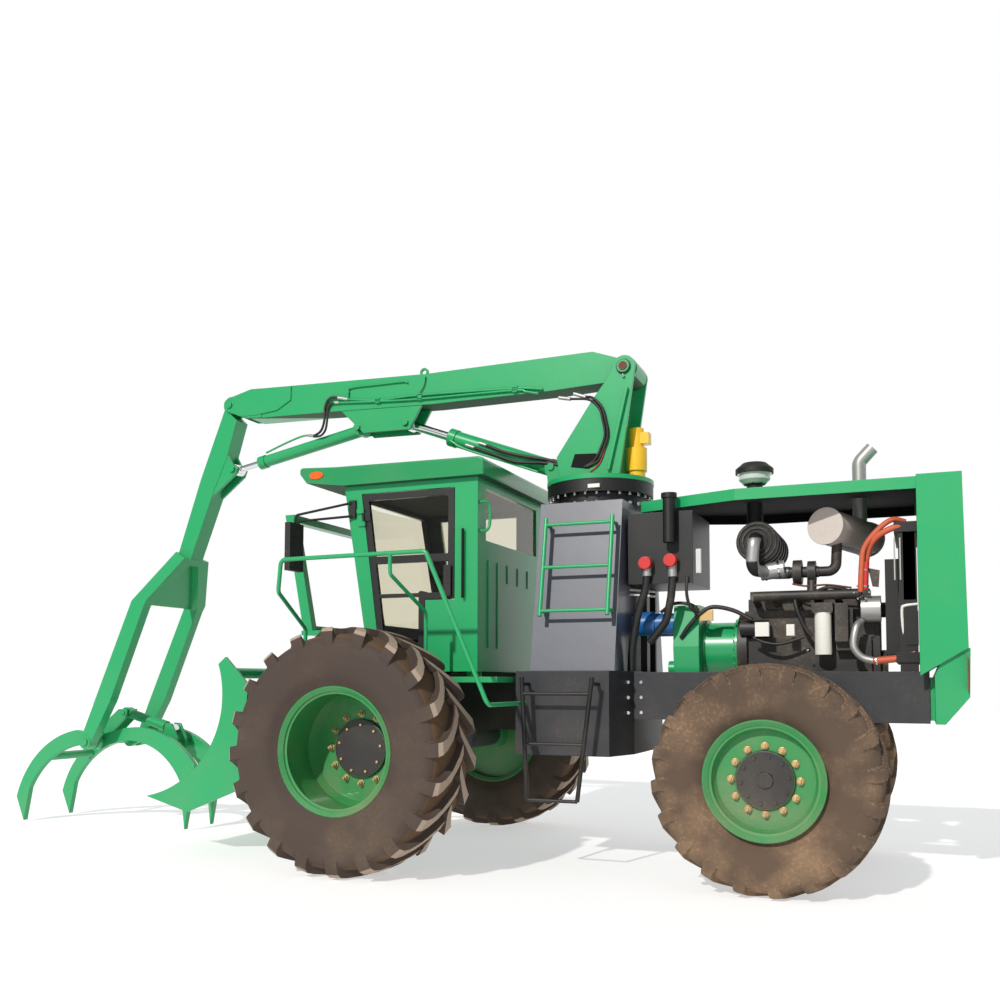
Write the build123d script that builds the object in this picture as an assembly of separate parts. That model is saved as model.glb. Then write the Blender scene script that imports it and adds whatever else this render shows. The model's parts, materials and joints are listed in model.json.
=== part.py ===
from build123d import *
from math import cos, radians, sin, tan
import os

os.makedirs("parts", exist_ok=True)

# Sugarcane loader: a four-wheeled carrier with a slewing crane behind the cab.
# Millimetres. X runs rearwards from the front axle, Y to the machine's right, Z up from the ground.
# The written solids stand with the middle of the whole machine's length at X = 0.

# Wheels and axles
WHEELBASE = 2880
FRONT_TYRE_RADIUS = 885
FRONT_TYRE_WIDTH = 613
FRONT_HALF_TRACK = 1424
FRONT_RIM_RADIUS = 460
FRONT_RIM_HALF = 259
FRONT_DISH = 382
FRONT_CAP_RADIUS = 212
FRONT_NUT_CIRCLE = 254
FRONT_LUGS = 20
REAR_TYRE_RADIUS = 750
REAR_TYRE_WIDTH = 444
REAR_HALF_TRACK = 995
REAR_RIM_RADIUS = 389
REAR_RIM_HALF = 238
REAR_DISH = 83
REAR_CAP_RADIUS = 186
REAR_NUT_CIRCLE = 218
REAR_LUGS = 20
LUG_HEIGHT = 45
LUG_LEAN = 40
RIM_WALL = 16
FLANGE_HEIGHT = 22
FLANGE_RUN = 30
DISC_THICKNESS = 20
CAP_PROUD = 25
NUT_COUNT = 12
NUT_RADIUS = 17
NUT_HEIGHT = 26
HUB_RADIUS = 140
SPINDLE_RADIUS = 60
FRONT_HUB_LENGTH = 150
REAR_HUB_LENGTH = 90
FRONT_AXLE_RADIUS = 110
REAR_BEAM_HEIGHT = 180
REAR_BEAM_WIDTH = 200
KINGPIN_Y = 690
KINGPIN_RADIUS = 35
KNUCKLE_RADIUS = 60
KNUCKLE_HALF_HEIGHT = 105
YOKE_THICKNESS = 45

# Clearances
SEAT_GAP = 0.3
PIN_GAP = 0.3
RUNNING_GAP = 6

# Frame
RAIL_Z0 = 1000
RAIL_Z1 = 1370
RAIL_Y = 420
RAIL_WALL = 60
FRAME_FRONT_X = -820
BASE_X0 = 1030
BASE_X1 = 1748
BASE_HALF = 800
BASE_Z0 = 840
BASE_Z1 = 1456
BASE_TAIL_X = 1840
REAR_RAIL_Z0 = 1100
REAR_RAIL_Z1 = 1450
REAR_RAIL_HALF = 450
REAR_RAIL_WALL = 30
REAR_RAIL_END = 3870
SADDLE_HALF_X = 90
SADDLE_HALF_Y = 160

# Pedestal and slew ring
TOWER_X0 = 1120
TOWER_X1 = 1775
TOWER_FOOT_HALF = 750
TOWER_TOP_HALF = 500
TOWER_TOP_Z = 2750
SLEW_X = 1450
RING_RADIUS = 375
RING_HEIGHT = 95
DRUM_RADIUS = 425
DRUM_HEIGHT = 100
TABLE_HEIGHT = 35
MOTOR_X = 1752
LADDER_TUBE = 16
LADDER_STANDOFF = 150
LADDER_TOP_Z = 1410
LADDER_FOOT_Z = 530
RUNG_RADIUS = 13

# Platform and cab
DECK_Z = 1412
DECK_THICKNESS = 42
DECK_X0 = -345
WALKWAY_X0 = -700
DECK_X1 = 998
TYRE_CLEARANCE = 32.5
DECK_HALF = FRONT_HALF_TRACK - FRONT_TYRE_WIDTH / 2 - TYRE_CLEARANCE
NOSE_DECK_Z = 1800
NOSE_DECK_X0 = -960
NOSE_DECK_HALF = 640
CAB_FLOOR_Z = 1454
CAB_ROOF_Z = 2962
CAB_REAR_X = 685
CAB_HALF = 724
CAB_WALL = 42
FLOOR_TOP_Z = CAB_FLOOR_Z + CAB_WALL
PILLAR_FOOT_X = -253
PILLAR_HEAD_X = -506
PILLAR_WIDTH = 95
DOOR_HEAD_X = -346
DOOR_FOOT_X = -156
DOOR_TOP_Z = 2895
DOOR_BOTTOM_Z = 1500
DOOR_REAR_X = 489
DOOR_STEP_X = 235
DOOR_STEP_Z = 2015
DOOR_GAP = 6
DOOR_THICKNESS = 35
DOOR_FRAME = 58
DOOR_BAR_Z = 2347
HINGE_OUT = 14
HINGE_RADIUS = 12
HINGE_LEAF = 60
HINGE_HEIGHTS = (1640, 2700)
GLASS_THICKNESS = 6
GLASS_BULGE = 130
REAR_WINDOW_Z0 = 2483
REAR_WINDOW_Z1 = 2897
REAR_WINDOW_HALF = 565
ROOF_HALF = 782
ROOF_TOP_Z = 3108
ROOF_REAR_X = 756
ROOF_FRONT_X = -905
GUARD_Y = 600
GUARD_FOOT_X = -905
GUARD_HEAD_X = -1100
GUARD_HEAD_Z = 2785
RAIL_TUBE = 16
HANDRAIL_Y = 1500
POST_Y = DECK_HALF - 35

# Engine bay
HOOD_TOP_Z = 2748
HOOD_FLANGE = 82
HOOD_HALF = 600
HOOD_NOSE_HALF = 330
HOOD_X0 = 1872
HOOD_TAPER_X = 2620
HOOD_X1 = 3812
SHEET = 12
PANEL_X1 = 4092
PANEL_TOP_Z = 2762
PANEL_Z0 = 1418
RADIATOR_X0 = 3690
RADIATOR_X1 = 3806
RADIATOR_Z0 = 1540
RADIATOR_Z1 = 2460
RADIATOR_HALF = 440
ENGINE_X0 = 2640
ENGINE_X1 = 3500
CRANK_Z = 1500
CRANKCASE_HALF = 230
BLOCK_HALF = 190
HEAD_Z0 = 1899
HEAD_Z1 = 1990
HEAD_HALF = 150
VALVE_COVERS = 6
VALVE_COVER_HEIGHT = 60
MOUNT_Z = 1360
DRIVE_Z = 1625
DRIVE_RADIUS = 205
FAN_Z = 1900
FAN_RADIUS = 290
FAN_BLADES = 7
FAN_GAP = 15
SHROUD_X0 = 3600
MANIFOLD_Y = -350
MANIFOLD_Z = 1995
MANIFOLD_RADIUS = 36
TURBO = (3060, -300, 2165)
FILTER = (3185, -335)
FILTER_RADIUS = 58
TANK_X0 = 1800
TANK_X1 = 2290
TANK_Z0 = 2105
TANK_Z1 = 2640
TANK_Y0 = -450
TANK_Y1 = 200
AIR_CLEANER = (2750, 2381)
AIR_CLEANER_RADIUS = 148
AIR_CLEANER_Y = (-440, 250)
SNORKEL_RADIUS = 60
SNORKEL_Z0 = 2880
MUFFLER_NEAR = (3215, -400, 2476)
MUFFLER_FAR = (3470, 250, 2450)
MUFFLER_RADIUS = 128
STACK_X = 3425
STACK_RADIUS = 50

# Crane, in the plane of the boom
COLUMN_PIVOT = (1706, 3858)
STICK_PIVOT = (-2144, 3977)
LIFT_FOOT = (1060, 3131)
LIFT_EYE = (-280, 3630)
DIPPER_FOOT = (-760, 3630)
DIPPER_EYE = (-2120, 3370)
GRAB_PIVOT = (-3500, 800)
GRAB_FOOT = (-3370, 1070)
GRAB_EYE = (-2820, 920)
LIFTING_EYE = (-150, 4085)
COLUMN_HALF = 205
COLUMN_PLATE = 28
BOOM_HALF = 110
BOOM_PLATE = 14
STICK_HALF = 85
FORK_HALF = 420
FORK_LEG = 95
CRANE_PIN = 38
BOSS_RADIUS = 62
LUG_PLATE = 25
LIFT_BARREL = 70
LIFT_ROD = 38
DIPPER_BARREL = 54
DIPPER_ROD = 30
GRAB_BARREL = 46
GRAB_ROD = 24
FRONT_TINE_Y = 290
REAR_TINE_Y = 185
TINE_PLATE = 50

# Push piler
PILER_PIVOT = (-620, 700)
PILER_FOOT = (-620, 1180)
PILER_EYE = (-1250, 800)
PILER_HALF = 1250
PILER_PLATE = 25
PILER_ARM_Y = 325
PILER_PIN = 30
PILER_CYLINDER_Y = 200
PILER_BARREL = 45
PILER_ROD = 25
CLEVIS_GAP = 6

# Ends of the machine: the outermost tine and the rear bumper
TINE_REACH_X = -4465
BUMPER_X1 = 4118
ORIGIN_X = (TINE_REACH_X + BUMPER_X1) / 2


def block(x0, x1, y0, y1, z0, z1):
    """A box between two corners."""
    box = Box(x1 - x0, y1 - y0, z1 - z0, align=(Align.MIN, Align.MIN, Align.MIN))
    return Pos(x0, y0, z0) * box


def outline(points):
    """A flat face through (a, b) points on the XY plane."""
    return make_face(Polyline(*points, close=True))


def side_plate(points, y0, y1):
    """A plate with an (x, z) outline, from y0 to y1."""
    return profile_plate(outline(points), y0, y1)


def profile_plate(face, y0, y1):
    """A plate with any (x, z) face, from y0 to y1."""
    return Pos(0, y0, 0) * extrude(Plane.XZ * face, amount=y1 - y0, dir=(0, 1, 0))


def plan_plate(points, z0, z1):
    """A plate with an (x, y) outline, from z0 to z1."""
    return Pos(0, 0, z0) * extrude(outline(points), amount=z1 - z0, dir=(0, 0, 1))


def cross_plate(points, x0, x1):
    """A plate with a (y, z) outline, from x0 to x1."""
    return Pos(x0, 0, 0) * extrude(Plane.YZ * outline(points), amount=x1 - x0, dir=(1, 0, 0))


def rod(start, end, radius):
    """A round bar between two points."""
    axis = Vector(*end) - Vector(*start)
    bar = Cylinder(radius, axis.length, align=(Align.CENTER, Align.CENTER, Align.MIN))
    return Plane(origin=start, z_dir=axis) * bar


def cross_rod(centre, y0, y1, radius):
    """A round bar along Y at an (x, z) centre."""
    return rod((centre[0], y0, centre[1]), (centre[0], y1, centre[1]), radius)


def cross_ring(centre, y0, y1, outer, bore):
    """A boss along Y at an (x, z) centre, with its bore."""
    return cross_rod(centre, y0, y1, outer) - cross_rod(centre, y0 - 1, y1 + 1, bore)


def tube_run(points, radius, bend):
    """A round tube along straight runs with rounded corners."""
    path = FilletPolyline(*points, radius=bend)
    start = Vector(*points[0])
    ahead = Vector(*points[1]) - start
    return sweep(Plane(origin=start, z_dir=ahead) * Circle(radius), path=path)


def turned(profile, centre):
    """A solid of revolution about Y from (radius, y) points, at an (x, z) centre."""
    ring = revolve(outline(profile), axis=Axis.Y, revolution_arc=360)
    return Pos(centre[0], 0, centre[1]) * ring


def along(start, end, distance):
    """The (x, z) point a distance from start towards end."""
    run = Vector(end[0] - start[0], end[1] - start[1])
    return (start[0] + run.X / run.length * distance, start[1] + run.Y / run.length * distance)


def joined(first, *others):
    """Pieces of one weldment made one solid."""
    return first.fuse(*others)


def both_sides(piece):
    """A piece and its mirror image across the machine."""
    return [piece, mirror(piece, Plane.XZ)]


def pair(piece):
    """A piece and its mirror image as one node."""
    return Compound([s for p in both_sides(piece) for s in p.solids()])


nodes = {}


def keep(name, piece):
    """Take a finished piece as a node."""
    nodes[name] = piece


# Tyres: flat-sided rings with two rows of leaning lugs that meet at the middle
def tyre(radius, width, bead, bead_half, lugs, lug_width):
    half = width / 2
    crown = radius - LUG_HEIGHT
    wall = crown - bead
    profile = [
        (bead, -bead_half), (bead, bead_half), (bead + wall * 0.5, half),
        (crown - wall * 0.16, half * 0.93), (crown, half * 0.7), (crown, -half * 0.7),
        (crown - wall * 0.16, -half * 0.93), (bead + wall * 0.5, -half),
    ]
    step = 360 / lugs
    reach = 2 * radius
    spread = reach * tan(radians(step / 2))
    slice_ = extrude(outline(profile), amount=radius, both=True)
    wedge = extrude(Plane.XZ * outline([(0, 0), (reach, spread), (reach, -spread)]), amount=width, both=True)
    sector = (slice_ & wedge).solid()
    length = half * 0.93 / cos(radians(LUG_LEAN))
    lug_side = [(crown - 50, -30)]
    for reach_out, along_lug in ((radius, -30), (radius, length * 0.45), (radius, length * 0.9), (crown - wall * 0.2, length)):
        swing = abs(along_lug) * sin(radians(LUG_LEAN)) + lug_width / 2 * cos(radians(LUG_LEAN))
        lug_side.append(((reach_out ** 2 - swing ** 2) ** 0.5, along_lug))
    lug = Rot(-LUG_LEAN, 0, 0) * extrude(outline(lug_side), amount=lug_width / 2, both=True)
    other = Rot(0, step / 2, 0) * mirror(lug, Plane.XZ)
    sectors = [Rot(0, step * i, 0) * sector for i in range(lugs)]
    ring = sectors[0].fuse(*sectors[1:])
    rows = [Rot(0, step * i, 0) * row for i in range(lugs) for row in (lug, other)]
    return ring.fuse(*rows).solid()


# Rims: a flanged barrel, a dished disc, a hub cap and its ring of nuts, outboard side towards -Y
def rim(flange_radius, half, dish, cap_radius, nut_circle, hub_length):
    barrel = flange_radius - FLANGE_HEIGHT
    inner = barrel - RIM_WALL
    cap_y = dish - half
    disc_y = cap_y + CAP_PROUD
    profile = [
        (SPINDLE_RADIUS + PIN_GAP, disc_y), (inner - 40, disc_y), (inner, disc_y - 60),
        (inner, -half + 24), (flange_radius - 8, -half), (flange_radius, -half + 6),
        (barrel, -half + FLANGE_RUN), (barrel, half - FLANGE_RUN), (flange_radius, half - 6),
        (flange_radius - 8, half), (inner, half - 24), (inner, disc_y + DISC_THICKNESS),
        (HUB_RADIUS, disc_y + DISC_THICKNESS), (HUB_RADIUS, disc_y + hub_length),
        (SPINDLE_RADIUS + PIN_GAP, disc_y + hub_length),
    ]
    wheel = turned(profile, (0, 0))
    cap = cross_rod((0, 0), cap_y, disc_y + 2, cap_radius)
    nuts = [
        Rot(0, 360 / NUT_COUNT * i, 0) * cross_rod((nut_circle, 0), disc_y - NUT_HEIGHT, disc_y + 1, NUT_RADIUS)
        for i in range(NUT_COUNT)
    ]
    return wheel.fuse(cap, *nuts).solid()


def seat_radius(flange_radius):
    """Where a tyre's bead sits on its rim."""
    return flange_radius - FLANGE_HEIGHT + SEAT_GAP


front_tyre = tyre(FRONT_TYRE_RADIUS, FRONT_TYRE_WIDTH, seat_radius(FRONT_RIM_RADIUS),
                  FRONT_RIM_HALF - FLANGE_RUN - SEAT_GAP, FRONT_LUGS, 62)
rear_tyre = tyre(REAR_TYRE_RADIUS, REAR_TYRE_WIDTH, seat_radius(REAR_RIM_RADIUS),
                 REAR_RIM_HALF - FLANGE_RUN - SEAT_GAP, REAR_LUGS, 52)
front_rim = rim(FRONT_RIM_RADIUS, FRONT_RIM_HALF, FRONT_DISH, FRONT_CAP_RADIUS, FRONT_NUT_CIRCLE, FRONT_HUB_LENGTH)
rear_rim = rim(REAR_RIM_RADIUS, REAR_RIM_HALF, REAR_DISH, REAR_CAP_RADIUS, REAR_NUT_CIRCLE, REAR_HUB_LENGTH)
wheel_table = [
    # place, x, half track, height, tyre, rim
    ("front", 0, FRONT_HALF_TRACK, FRONT_TYRE_RADIUS, front_tyre, front_rim),
    ("rear", WHEELBASE, REAR_HALF_TRACK, REAR_TYRE_RADIUS, rear_tyre, rear_rim),
]
for place, x, track, height, rubber, steel in wheel_table:
    for side, y, flip in (("left", -track, False), ("right", track, True)):
        for kind, piece in (("tyre", rubber), ("rim", steel)):
            turned_piece = mirror(piece, Plane.XZ) if flip else piece
            keep(f"{kind}_{place}_{side}", Pos(x, y, height) * turned_piece)


# Front frame: two deep rails with cross members and the piler's shafts, and the deep base box
def front_frame():
    pieces = []
    for y in (-RAIL_Y, RAIL_Y - RAIL_WALL):
        pieces.append(block(FRAME_FRONT_X, BASE_X0, y, y + RAIL_WALL, RAIL_Z0, RAIL_Z1))
    inner = RAIL_Y - RAIL_WALL + 1
    for x, z0 in ((FRAME_FRONT_X, RAIL_Z1 - 140), (-60, RAIL_Z0 + 60), (620, RAIL_Z0 + 60)):
        pieces.append(block(x, x + 60, -inner, inner, z0, RAIL_Z1 - 20))
    for y in (-RAIL_Y, RAIL_Y - RAIL_WALL):
        cheek = side_plate([
            (PILER_PIVOT[0] - 130, RAIL_Z0 + 1), (PILER_PIVOT[0] - 70, PILER_PIVOT[1] - 60),
            (PILER_PIVOT[0] + 70, PILER_PIVOT[1] - 60), (PILER_PIVOT[0] + 130, RAIL_Z0 + 1)], y, y + RAIL_WALL)
        pieces.append(cheek)
    for centre in (PILER_PIVOT, PILER_FOOT):
        pieces.append(cross_rod(centre, -RAIL_Y, RAIL_Y, PILER_PIN))
    base_plan = [(BASE_X0, -BASE_HALF), (BASE_X1, -BASE_HALF), (BASE_TAIL_X, -REAR_RAIL_HALF),
                 (BASE_TAIL_X, REAR_RAIL_HALF), (BASE_X1, BASE_HALF), (BASE_X0, BASE_HALF)]
    pieces.append(plan_plate(base_plan, BASE_Z0, BASE_Z1))
    return joined(*pieces)


keep("front_frame", front_frame())


# Rear frame: two rails, cross members and the saddle that carries the rear axle
def rear_frame():
    pieces = []
    for y in (-REAR_RAIL_HALF, REAR_RAIL_HALF - REAR_RAIL_WALL):
        pieces.append(block(BASE_TAIL_X, REAR_RAIL_END, y, y + REAR_RAIL_WALL, REAR_RAIL_Z0, REAR_RAIL_Z1))
    inner = REAR_RAIL_HALF - REAR_RAIL_WALL + 1
    for x in (BASE_TAIL_X, WHEELBASE - SADDLE_HALF_X, REAR_RAIL_END - 60):
        width = 2 * SADDLE_HALF_X if x == WHEELBASE - SADDLE_HALF_X else 60
        pieces.append(block(x, x + width, -inner, inner, REAR_RAIL_Z0, REAR_RAIL_Z0 + 60))
    beam_top = REAR_TYRE_RADIUS + REAR_BEAM_HEIGHT / 2
    pieces.append(block(WHEELBASE - SADDLE_HALF_X, WHEELBASE + SADDLE_HALF_X, -SADDLE_HALF_Y, SADDLE_HALF_Y,
                        beam_top, REAR_RAIL_Z0 + 1))
    return joined(*pieces)


keep("rear_frame", rear_frame())


# Front axle: a drop box under the rails with a housing and spindle to each wheel
def front_axle():
    z = FRONT_TYRE_RADIUS
    hub_end = FRONT_HALF_TRACK - (FRONT_DISH - FRONT_RIM_HALF + CAP_PROUD + FRONT_HUB_LENGTH) - SEAT_GAP
    housing = cross_rod((0, z), -hub_end, hub_end, FRONT_AXLE_RADIUS)
    spindle_end = FRONT_HALF_TRACK - (FRONT_DISH - FRONT_RIM_HALF + CAP_PROUD) - 5
    spindle = cross_rod((0, z), -spindle_end, spindle_end, SPINDLE_RADIUS)
    box = block(-210, 210, -250, 250, z - 250, RAIL_Z0)
    pads = [block(-150, 150, y - 90, y + 90, z, RAIL_Z0) for y in (-RAIL_Y + 30, RAIL_Y - 30)]
    return joined(housing, spindle, box, *pads)


keep("front_axle", front_axle())


# Rear axle: a beam under the saddle with a forked end round each knuckle
def rear_axle():
    z = REAR_TYRE_RADIUS
    x0, x1 = WHEELBASE - REAR_BEAM_WIDTH / 2, WHEELBASE + REAR_BEAM_WIDTH / 2
    reach = KINGPIN_Y - KNUCKLE_RADIUS - RUNNING_GAP - 14
    beam = block(x0, x1, -reach, reach, z - REAR_BEAM_HEIGHT / 2, z + REAR_BEAM_HEIGHT / 2)
    pieces = [beam]
    for side in (-1, 1):
        for z0 in (z - KNUCKLE_HALF_HEIGHT - RUNNING_GAP - YOKE_THICKNESS, z + KNUCKLE_HALF_HEIGHT + RUNNING_GAP):
            arm = block(WHEELBASE - 70, WHEELBASE + 70, min(side * (reach - 90), side * KINGPIN_Y),
                        max(side * (reach - 90), side * KINGPIN_Y), z0, z0 + YOKE_THICKNESS)
            eye = Pos(WHEELBASE, side * KINGPIN_Y, z0) * Cylinder(
                70, YOKE_THICKNESS, align=(Align.CENTER, Align.CENTER, Align.MIN))
            pieces += [arm, eye]
        web_z = KNUCKLE_HALF_HEIGHT + RUNNING_GAP + YOKE_THICKNESS
        pieces.append(block(WHEELBASE - 70, WHEELBASE + 70, min(side * (reach - 90), side * reach),
                            max(side * (reach - 90), side * reach), z - web_z, z + web_z))
    body = joined(*pieces)
    for side in (-1, 1):
        body -= Pos(WHEELBASE, side * KINGPIN_Y, z) * Cylinder(KINGPIN_RADIUS + PIN_GAP, 600)
    return body


keep("rear_axle", rear_axle())


# Steering knuckles: a kingpin with the spindle that carries a rear wheel
def knuckle(side):
    z = REAR_TYRE_RADIUS
    post = Pos(WHEELBASE, side * KINGPIN_Y, z) * Cylinder(KNUCKLE_RADIUS, 2 * KNUCKLE_HALF_HEIGHT)
    pin_half = KNUCKLE_HALF_HEIGHT + RUNNING_GAP + YOKE_THICKNESS
    kingpin = Pos(WHEELBASE, side * KINGPIN_Y, z) * Cylinder(KINGPIN_RADIUS, 2 * pin_half)
    disc = REAR_HALF_TRACK - (REAR_DISH - REAR_RIM_HALF + CAP_PROUD)
    shoulder = disc - REAR_HUB_LENGTH - SEAT_GAP
    hub = cross_rod((WHEELBASE, z), *sorted((side * KINGPIN_Y, side * shoulder)), 85)
    spindle = cross_rod((WHEELBASE, z), *sorted((side * KINGPIN_Y, side * (disc - 5))), SPINDLE_RADIUS)
    return joined(post, kingpin, hub, spindle)


keep("knuckle_left", knuckle(-1))
keep("knuckle_right", knuckle(1))

def tower_face(z):
    """The half width of the pedestal at a height."""
    return TOWER_FOOT_HALF - (z - BASE_Z1) * (TOWER_FOOT_HALF - TOWER_TOP_HALF) / (TOWER_TOP_Z - BASE_Z1)


def tower_ladder():
    """Steps up the pedestal's left face, on stand-off tubes."""
    foot_y = -TOWER_FOOT_HALF - 40
    foot_z = BASE_Z1 + 404
    head_z = TOWER_TOP_Z - 140
    x0, x1 = TOWER_X0 + 95, TOWER_X1 - 40
    pieces = []
    for x in (x0, x1):
        pieces.append(rod((x, foot_y, foot_z), (x, foot_y + (head_z - foot_z) * 0.2, head_z), LADDER_TUBE))
        for z in (foot_z + 40, head_z - 50):
            y = foot_y + (z - foot_z) * 0.2
            pieces.append(rod((x, y, z), (x, 20 - tower_face(z), z), RUNG_RADIUS))
    for i in range(3):
        z = foot_z + 40 + (head_z - foot_z - 90) / 2 * i
        y = foot_y + (z - foot_z) * 0.2
        pieces.append(rod((x0, y, z), (x1, y, z), RUNG_RADIUS))
    return pieces


# Pedestal: a tower that narrows upwards, under the fixed half of the slew ring
tower = cross_plate([(-TOWER_FOOT_HALF, BASE_Z1), (TOWER_FOOT_HALF, BASE_Z1),
                     (TOWER_TOP_HALF, TOWER_TOP_Z), (-TOWER_TOP_HALF, TOWER_TOP_Z)], TOWER_X0, TOWER_X1)
lower_ring = rod((SLEW_X, 0, TOWER_TOP_Z), (SLEW_X, 0, TOWER_TOP_Z + RING_HEIGHT), RING_RADIUS)
keep("pedestal", joined(tower, lower_ring, *tower_ladder()))


# Ladder up to the base box, left side
def ladder():
    y = -BASE_HALF - LADDER_STANDOFF
    height = LADDER_TOP_Z - LADDER_FOOT_Z
    rails = [
        # x at the top, x at the foot
        (BASE_X0 + 106, BASE_X0 + 148),
        (BASE_X1 - 79, BASE_X1 - 192),
    ]
    pieces = []
    for top, foot in rails:
        pieces.append(rod((top, y, LADDER_TOP_Z), (foot, y, LADDER_FOOT_Z), LADDER_TUBE))
        pieces.append(rod((top, y, LADDER_TOP_Z - 50), (top, -BASE_HALF, LADDER_TOP_Z - 50), RUNG_RADIUS))
    for drop in (120, 480, height):
        ends = [(top + (foot - top) * drop / height, y, LADDER_TOP_Z - drop) for top, foot in rails]
        pieces.append(rod(*ends, RUNG_RADIUS))
    return joined(*pieces)


keep("ladder", ladder())


# Deck: the walkway plate under the cab, the nose deck and the riser between them
def deck():
    z0 = DECK_Z - DECK_THICKNESS
    pieces = [block(DECK_X0, DECK_X1, -DECK_HALF, DECK_HALF, z0, DECK_Z)]
    pieces.append(block(WALKWAY_X0, DECK_X0 + 1, -DECK_HALF, -NOSE_DECK_HALF, z0, DECK_Z))
    pieces.append(block(WALKWAY_X0, DECK_X0 + 1, NOSE_DECK_HALF, DECK_HALF, z0, DECK_Z))
    pieces.append(block(NOSE_DECK_X0, DECK_X0 + 20, -NOSE_DECK_HALF, NOSE_DECK_HALF, NOSE_DECK_Z - 40, NOSE_DECK_Z))
    pieces.append(block(DECK_X0, DECK_X0 + 20, -NOSE_DECK_HALF, NOSE_DECK_HALF, z0, NOSE_DECK_Z - 1))
    for y in (-RAIL_Y, RAIL_Y - 20):
        pieces.append(side_plate([(-740, RAIL_Z1), (DECK_X0 + 1, RAIL_Z1), (DECK_X0 + 1, NOSE_DECK_Z - 30),
                                  (-900, NOSE_DECK_Z - 30), (-740, 1640)], y, y + 20))
    for x in (DECK_X0 + 120, 600):
        for y in (-600, 600):
            pieces.append(rod((x, y, DECK_Z - 1), (x, y, CAB_FLOOR_Z), 60))
    return pieces


# Handrail: a rail outside the walkway that rises over the tyre and flares outwards
def handrail():
    y = -HANDRAIL_Y
    front = tube_run([(-650, -POST_Y, DECK_Z - 5), (-650, -POST_Y, 1790), (-598, y, 2040), (-577, y, 2282), (626, y, 2290),
                      (1103, y, 1218), (1103, -BASE_HALF - SEAT_GAP, 1218)], RAIL_TUBE, 45)
    middle = tube_run([(406, -POST_Y, DECK_Z - 5), (406, -POST_Y, 1895), (345, y, 2139), (345, y, 2286)],
                      RAIL_TUBE - 2, 45)
    return [front, middle]


keep("deck", joined(*deck(), *handrail()))


# Cab shell: floor, walls, pillars and sills, with the windows and the door opening cut
def cab_shell():
    side = [(CAB_REAR_X, CAB_FLOOR_Z), (CAB_REAR_X, CAB_ROOF_Z), (PILLAR_HEAD_X, CAB_ROOF_Z),
            (PILLAR_FOOT_X, CAB_FLOOR_Z)]
    shell = side_plate(side, -CAB_HALF, CAB_HALF)
    room = side_plate([(CAB_REAR_X - CAB_WALL, CAB_FLOOR_Z + CAB_WALL), (CAB_REAR_X - CAB_WALL, CAB_ROOF_Z - CAB_WALL),
                       (PILLAR_HEAD_X + CAB_WALL + 8, CAB_ROOF_Z - CAB_WALL),
                       (PILLAR_FOOT_X + CAB_WALL - 6, CAB_FLOOR_Z + CAB_WALL)], -CAB_HALF + CAB_WALL, CAB_HALF - CAB_WALL)
    shell -= room
    shell -= side_plate(door_outline(0), -CAB_HALF - 1, -CAB_HALF + CAB_WALL + 1)
    shell -= side_plate([(-318, 2870), (445, 2870), (445, 2040), (-200, 2040)], CAB_HALF - CAB_WALL - 1, CAB_HALF + 1)
    half = CAB_HALF - PILLAR_WIDTH
    shell -= block(PILLAR_HEAD_X - 50, PILLAR_FOOT_X + 60, -half, half, NOSE_DECK_Z + 40, CAB_ROOF_Z - 80)
    shell -= block(CAB_REAR_X - CAB_WALL - 1, CAB_REAR_X + 1, -REAR_WINDOW_HALF, REAR_WINDOW_HALF,
                   REAR_WINDOW_Z0, REAR_WINDOW_Z1)
    return shell


def door_outline(inset):
    """The door's (x, z) outline, drawn in by an inset all round."""
    slope = (DOOR_FOOT_X - DOOR_HEAD_X) / (DOOR_TOP_Z - DOOR_BOTTOM_Z)
    return [
        (DOOR_HEAD_X + inset * (1 + slope), DOOR_TOP_Z - inset), (DOOR_REAR_X - inset, DOOR_TOP_Z - inset),
        (DOOR_REAR_X - inset, DOOR_STEP_Z + inset), (DOOR_STEP_X - inset, DOOR_STEP_Z + inset),
        (DOOR_STEP_X - inset, DOOR_BOTTOM_Z + inset), (DOOR_FOOT_X + inset * (1 - slope), DOOR_BOTTOM_Z + inset),
    ]


def pillar_edge(z):
    """The X of the door's front edge at a height."""
    return DOOR_FOOT_X + (DOOR_HEAD_X - DOOR_FOOT_X) * (z - DOOR_BOTTOM_Z) / (DOOR_TOP_Z - DOOR_BOTTOM_Z)


def hinge_rod(z0, z1):
    """A stretch of the door's hinge line, outside the cab's left face."""
    y = -CAB_HALF - HINGE_OUT
    return rod((pillar_edge(z0), y, z0), (pillar_edge(z1), y, z1), HINGE_RADIUS)


def hinge_leaf(z0, z1, x0, x1):
    """The flat leaf that carries a knuckle, from x0 to x1 off the hinge line."""
    leaf = [(pillar_edge(z0) + x0, z0), (pillar_edge(z1) + x0, z1), (pillar_edge(z1) + x1, z1), (pillar_edge(z0) + x1, z0)]
    return side_plate(leaf, -CAB_HALF - HINGE_OUT + 2, -CAB_HALF)


shell_knuckles = []
door_knuckles = []
for z in HINGE_HEIGHTS:
    for z0, z1 in ((z - 70, z - 34), (z + 34, z + 70)):
        shell_knuckles += [hinge_rod(z0, z1), hinge_leaf(z0, z1, -HINGE_LEAF, 2)]
    door_knuckles += [hinge_rod(z - 30, z + 30), hinge_leaf(z - 30, z + 30, -2, HINGE_LEAF)]
keep("cab_shell", joined(cab_shell(), *shell_knuckles))

# Door: one slab with an upper and a lower window, glazed
pane_table = [
    # z0, z1, rear x
    (DOOR_BAR_Z + 30, DOOR_TOP_Z - DOOR_FRAME, DOOR_REAR_X - DOOR_FRAME),
    (DOOR_STEP_Z + DOOR_FRAME, DOOR_BAR_Z - 30, DOOR_REAR_X - DOOR_FRAME),
    (DOOR_BOTTOM_Z + DOOR_FRAME, DOOR_STEP_Z + DOOR_FRAME - 30, DOOR_STEP_X - DOOR_FRAME),
]


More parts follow.
